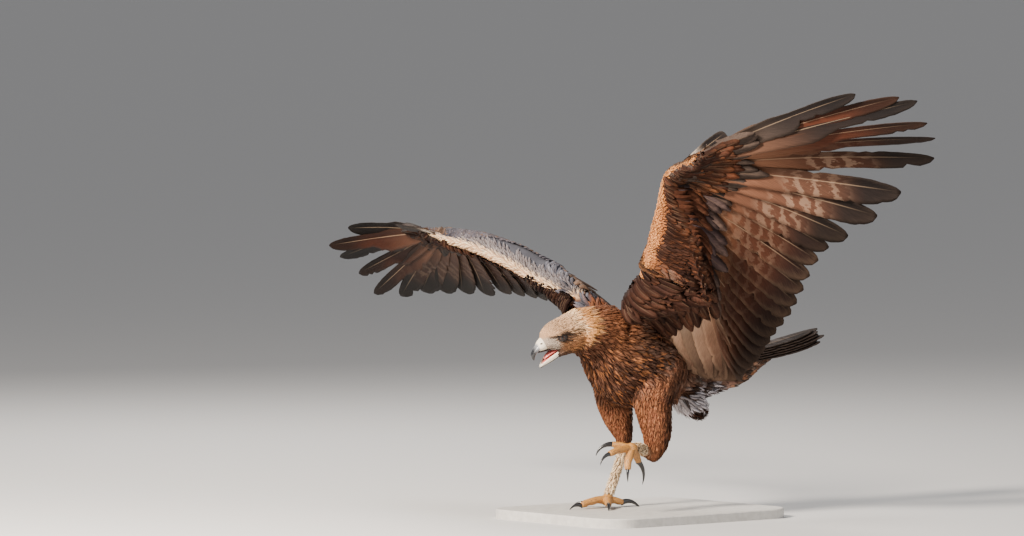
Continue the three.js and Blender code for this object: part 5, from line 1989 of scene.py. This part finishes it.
mesh = lofted("bill_upper_horn", [tube_rings(UPPER_BILL_ROWS, 28, 30)], HEAD_PLACE)
tinted(mesh, bill_colour)
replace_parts(link("bill_upper_horn", mesh, HORN), "bill_upper")
jaw = tube_rings(LOWER_BILL_ROWS, 24, 22, across=JAW_ACROSS)
mesh = lofted("bill_lower_horn", [jaw, *jaw_rims()], HEAD_PLACE)
tinted(mesh, lower_colour)
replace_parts(link("bill_lower_horn", mesh, HORN), "bill_lower")
mesh = lofted("cere_skin", [tube_rings(CERE_ROWS, 72, 60)], HEAD_PLACE)
tinted(mesh, cere_colour)
dented(mesh)
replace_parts(link("cere_skin", mesh, CERE), "cere")
mesh = lofted("tongue_flesh", [tube_rings(TONGUE_ROWS, 20, 16, across=JAW_ACROSS)], HEAD_PLACE)
tinted(mesh, lambda points: np.tile(MOUTH_COLOURS["tongue"], (len(points), 1)))
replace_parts(link("tongue_flesh", mesh, MOUTH), "tongue")
# A near-black palate: painted shade in the upper mouth
mesh = lofted("mouth_palate", [tube_rings(PALATE_ROWS, 20, 14)], HEAD_PLACE)
tinted(mesh, lambda points: np.tile(MOUTH_COLOURS["palate"], (len(points), 1)))
link("mouth_palate", mesh, MOUTH)
mesh = lofted("mouth_floor", [tube_rings(MOUTH_FLOOR_ROWS, 20, 14, across=JAW_ACROSS)], HEAD_PLACE)
tinted(mesh, lambda points: np.tile(MOUTH_COLOURS["floor"], (len(points), 1)))
link("mouth_floor", mesh, MOUTH)


# Eyes: pupil, brown iris and a dark rim, under a thick lid
EYE_COLOURS = {
    "pupil": (0.004, 0.004, 0.004),
    "iris": (0.034, 0.0125, 0.0045),
    "iris_edge": (0.016, 0.006, 0.0025),
    "rim": (0.01, 0.008, 0.007),
    "lid": (0.012, 0.008, 0.007),
}


def make_eye(name, side):
    middle = Vector((side * EYE["out"], 0, 0))
    axis = eye_axis(side)
    shape = bmesh.new()
    place = HEAD_PLACE @ Matrix.Translation(middle * MM)
    bmesh.ops.create_uvsphere(shape, u_segments=64, v_segments=48, radius=EYE["radius"] * MM)
    turn = Vector((0, 0, 1)).rotation_difference(axis).to_matrix().to_4x4()
    bmesh.ops.transform(shape, matrix=place @ turn, verts=shape.verts)
    mesh = close_shape(shape, f"eye_{name}_ball")

    def eye_colour(points):
        away = unit(in_head(points) - np.array(middle))
        angle = np.degrees(np.arccos(np.clip(away @ np.array(axis), -1, 1)))
        pupil = np.tile(EYE_COLOURS["pupil"], (len(points), 1))
        iris = mix(EYE_COLOURS["iris"], EYE_COLOURS["iris_edge"], ramp(22, 36, angle)[:, None])
        colour = mix(pupil, iris, ramp(16, 18, angle)[:, None])
        return mix(colour, EYE_COLOURS["rim"], ramp(35, 39, angle)[:, None])

    tinted(mesh, eye_colour)
    piece = link(f"eye_{name}_ball", mesh, EYE_GLASS)
    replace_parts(piece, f"eye_{name}")
    _, along_lid, upward = eye_frame(side)
    rings = []
    for i in range(48):
        turn = 2 * math.pi * i / 48
        open_to = math.radians(lid_opening(turn))
        radial = along_lid * math.cos(turn) + upward * math.sin(turn)
        outward = axis * math.cos(open_to) + radial * math.sin(open_to)
        across = radial * math.cos(open_to) - axis * math.sin(open_to)
        centre = middle + outward * (EYE["radius"] + 0.3)
        ring = []
        for s in range(10):
            around = 2 * math.pi * s / 10
            ring.append(
                centre
                + across * math.cos(around) * EYE_LOOK["lid"] * 1.3
                + outward * math.sin(around) * EYE_LOOK["lid"]
            )
        rings.append(ring)
    shape = bmesh.new()
    loops = []
    for ring in rings:
        verts = [shape.verts.new(HEAD_PLACE @ (p * MM)) for p in ring]
        loops.append([shape.edges.new(pair) for pair in zip(verts, verts[1:] + verts[:1])])
    for one, other in zip(loops, loops[1:] + loops[:1]):
        bmesh.ops.bridge_loops(shape, edges=one + other)
    mesh = close_shape(shape, f"eye_{name}_lid")
    tinted(mesh, lambda points: np.tile(EYE_COLOURS["lid"], (len(points), 1)))
    link(f"eye_{name}_lid", mesh, UNDERCOAT)


make_eye("left", 1)
make_eye("right", -1)


# Feet: scaly toes with pads, and curved claws
def toe_rings(joint, run):
    spots = [np.array(joint, float) + np.array(step, float) for step in run]
    steps = 10 * (len(run) - 1) + 1
    rows = []
    for i in range(steps):
        t = i / (steps - 1) * (len(run) - 1)
        spot = along(spots, t)
        radius = TOE["root"] + (TOE["tip"] - TOE["root"]) * t / (len(run) - 1)
        pad = 1 + 0.1 * math.cos(2 * math.pi * (t - 0.45))
        rows.append((*spot, radius * (0.9 + 0.1 * pad), radius * 0.95, radius * TOE["flat"] * pad))
    across = unit(np.array([run[-1][1], -run[-1][0], 0.0]))
    return tube_rings(rows, 18, steps, across=tuple(across))


def foot_mesh(name, foot):
    shape = bmesh.new()
    for run in foot["toes"].values():
        add_loft(shape, toe_rings(foot["joint"], run))
    palm = Matrix.Translation(Vector(foot["joint"]) * MM)
    bmesh.ops.create_uvsphere(shape, u_segments=32, v_segments=20, radius=TOE["palm"] * MM, matrix=palm)
    mesh = remeshed(close_shape(shape, name), 0.9, 6)
    if name.endswith("right"):
        shape = bmesh.new()
        shape.from_mesh(mesh)
        for vert in shape.verts:
            vert.co.z = max(vert.co.z, SOLE * MM)
        shape.to_mesh(mesh)
        shape.free()
    mesh.name = name
    return mesh


def claw_rings(joint, run, claw, lift):
    end = Vector(joint) + Vector(run[-1])
    ahead = Vector(run[-1]) - Vector(run[-2])
    ahead.z *= 0.4
    ahead.normalize()
    ahead.z += lift
    ahead.normalize()
    across = Vector((ahead.y, -ahead.x, 0)).normalized()
    steps = 30
    at = end - ahead * 3
    rows = []
    for i in range(steps + 1):
        share = i / steps
        radius = claw["radius"] * (1 - share) ** 0.8 + 0.25
        rows.append((*at, radius * 0.82, radius, radius * 0.92))
        at = at + ahead * (claw["long"] / steps)
        ahead = Matrix.Rotation(math.radians(-claw["turn"] / steps), 3, across) @ ahead
    return tube_rings(rows, 16, steps + 1, across=tuple(across))


for name, foot in FEET.items():
    piece = link(f"foot_{name}", foot_mesh(f"foot_{name}", foot), TOE_SKIN)
    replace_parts(piece, f"toes_{name}")
    for toe, run in foot["toes"].items():
        mesh = lofted(
            f"talon_{toe}_{name}", [claw_rings(foot["joint"], run, CLAWS[toe], foot["lift"])]
        )
        piece = link(f"talon_{toe}_{name}", mesh, CLAW)
        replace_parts(piece, f"claw_{toe}_{name}")


# The base keeps the solid's shape
base = NODES["stand_base"]
base.data.materials.clear()
base.data.materials.append(BASE_PAINT)


# Floor, light and camera
floor_mesh = bpy.data.meshes.new("floor")
shape = bmesh.new()
bmesh.ops.create_grid(shape, x_segments=1, y_segments=1, size=60.0)
shape.to_mesh(floor_mesh)
shape.free()
floor_paint, _, floor_shader = material("floor_paint", 0.85, specular=0.2)
floor_shader.inputs["Base Color"].default_value = (0.62, 0.61, 0.6, 1)
floor = bpy.data.objects.new("floor", floor_mesh)
bpy.context.scene.collection.objects.link(floor)
floor_mesh.materials.append(floor_paint)

world = bpy.data.worlds.new("studio")
world.use_nodes = True
world.node_tree.nodes["Background"].inputs["Color"].default_value = (0.86, 0.87, 0.9, 1)
world.node_tree.nodes["Background"].inputs["Strength"].default_value = 0.4
bpy.context.scene.world = world

turn = math.radians(VIEW["azimuth"])
rise = math.radians(VIEW["elevation"])
rightward = Vector((math.cos(turn), math.sin(turn), 0))
backward = Vector((math.sin(turn) * math.cos(rise), -math.cos(turn) * math.cos(rise), math.sin(rise)))
upward = backward.cross(rightward)
aim = (
    rightward * (PHOTO["wide"] / 2 - PHOTO["origin"][0]) * VIEW["pixel"]
    + upward * (PHOTO["origin"][1] - PHOTO["tall"] / 2) * VIEW["pixel"]
)


def add_light(name, towards, away, size, power, colour):
    lamp = bpy.data.lights.new(name, "AREA")
    lamp.shape = "DISK"
    lamp.size = size
    lamp.energy = power
    lamp.color = colour
    piece = bpy.data.objects.new(name, lamp)
    bpy.context.scene.collection.objects.link(piece)
    middle = Vector((0, 0, 0.42))
    piece.location = middle + Vector(towards).normalized() * away
    piece.rotation_euler = (-Vector(towards)).to_track_quat("-Z", "Y").to_euler()


key_from = backward * 0.85 - rightward * 0.85 + Vector((0, 0, 0.6))
fill_from = backward * 0.7 + rightward * 0.9 + Vector((0, 0, 0.35))
rim_from = -backward * 0.9 - rightward * 0.35 + Vector((0, 0, 0.8))
add_light("key", key_from, 3.2, 0.8, 360, (1.0, 0.9, 0.78))
add_light("fill", fill_from, 3.6, 2.6, 30, (0.9, 0.94, 1.0))
add_light("rim", rim_from, 3.4, 1.4, 90, (1.0, 0.95, 0.9))

lens = bpy.data.cameras.new("camera")
lens.sensor_width = 36.0
lens.lens = 36.0 * VIEW["away"] / (PHOTO["wide"] * VIEW["pixel"])
lens.clip_end = 200.0
camera = bpy.data.objects.new("camera", lens)
bpy.context.scene.collection.objects.link(camera)
camera.location = aim + backward * VIEW["away"]
camera.rotation_euler = Matrix((rightward, upward, backward)).transposed().to_euler()
bpy.context.scene.camera = camera
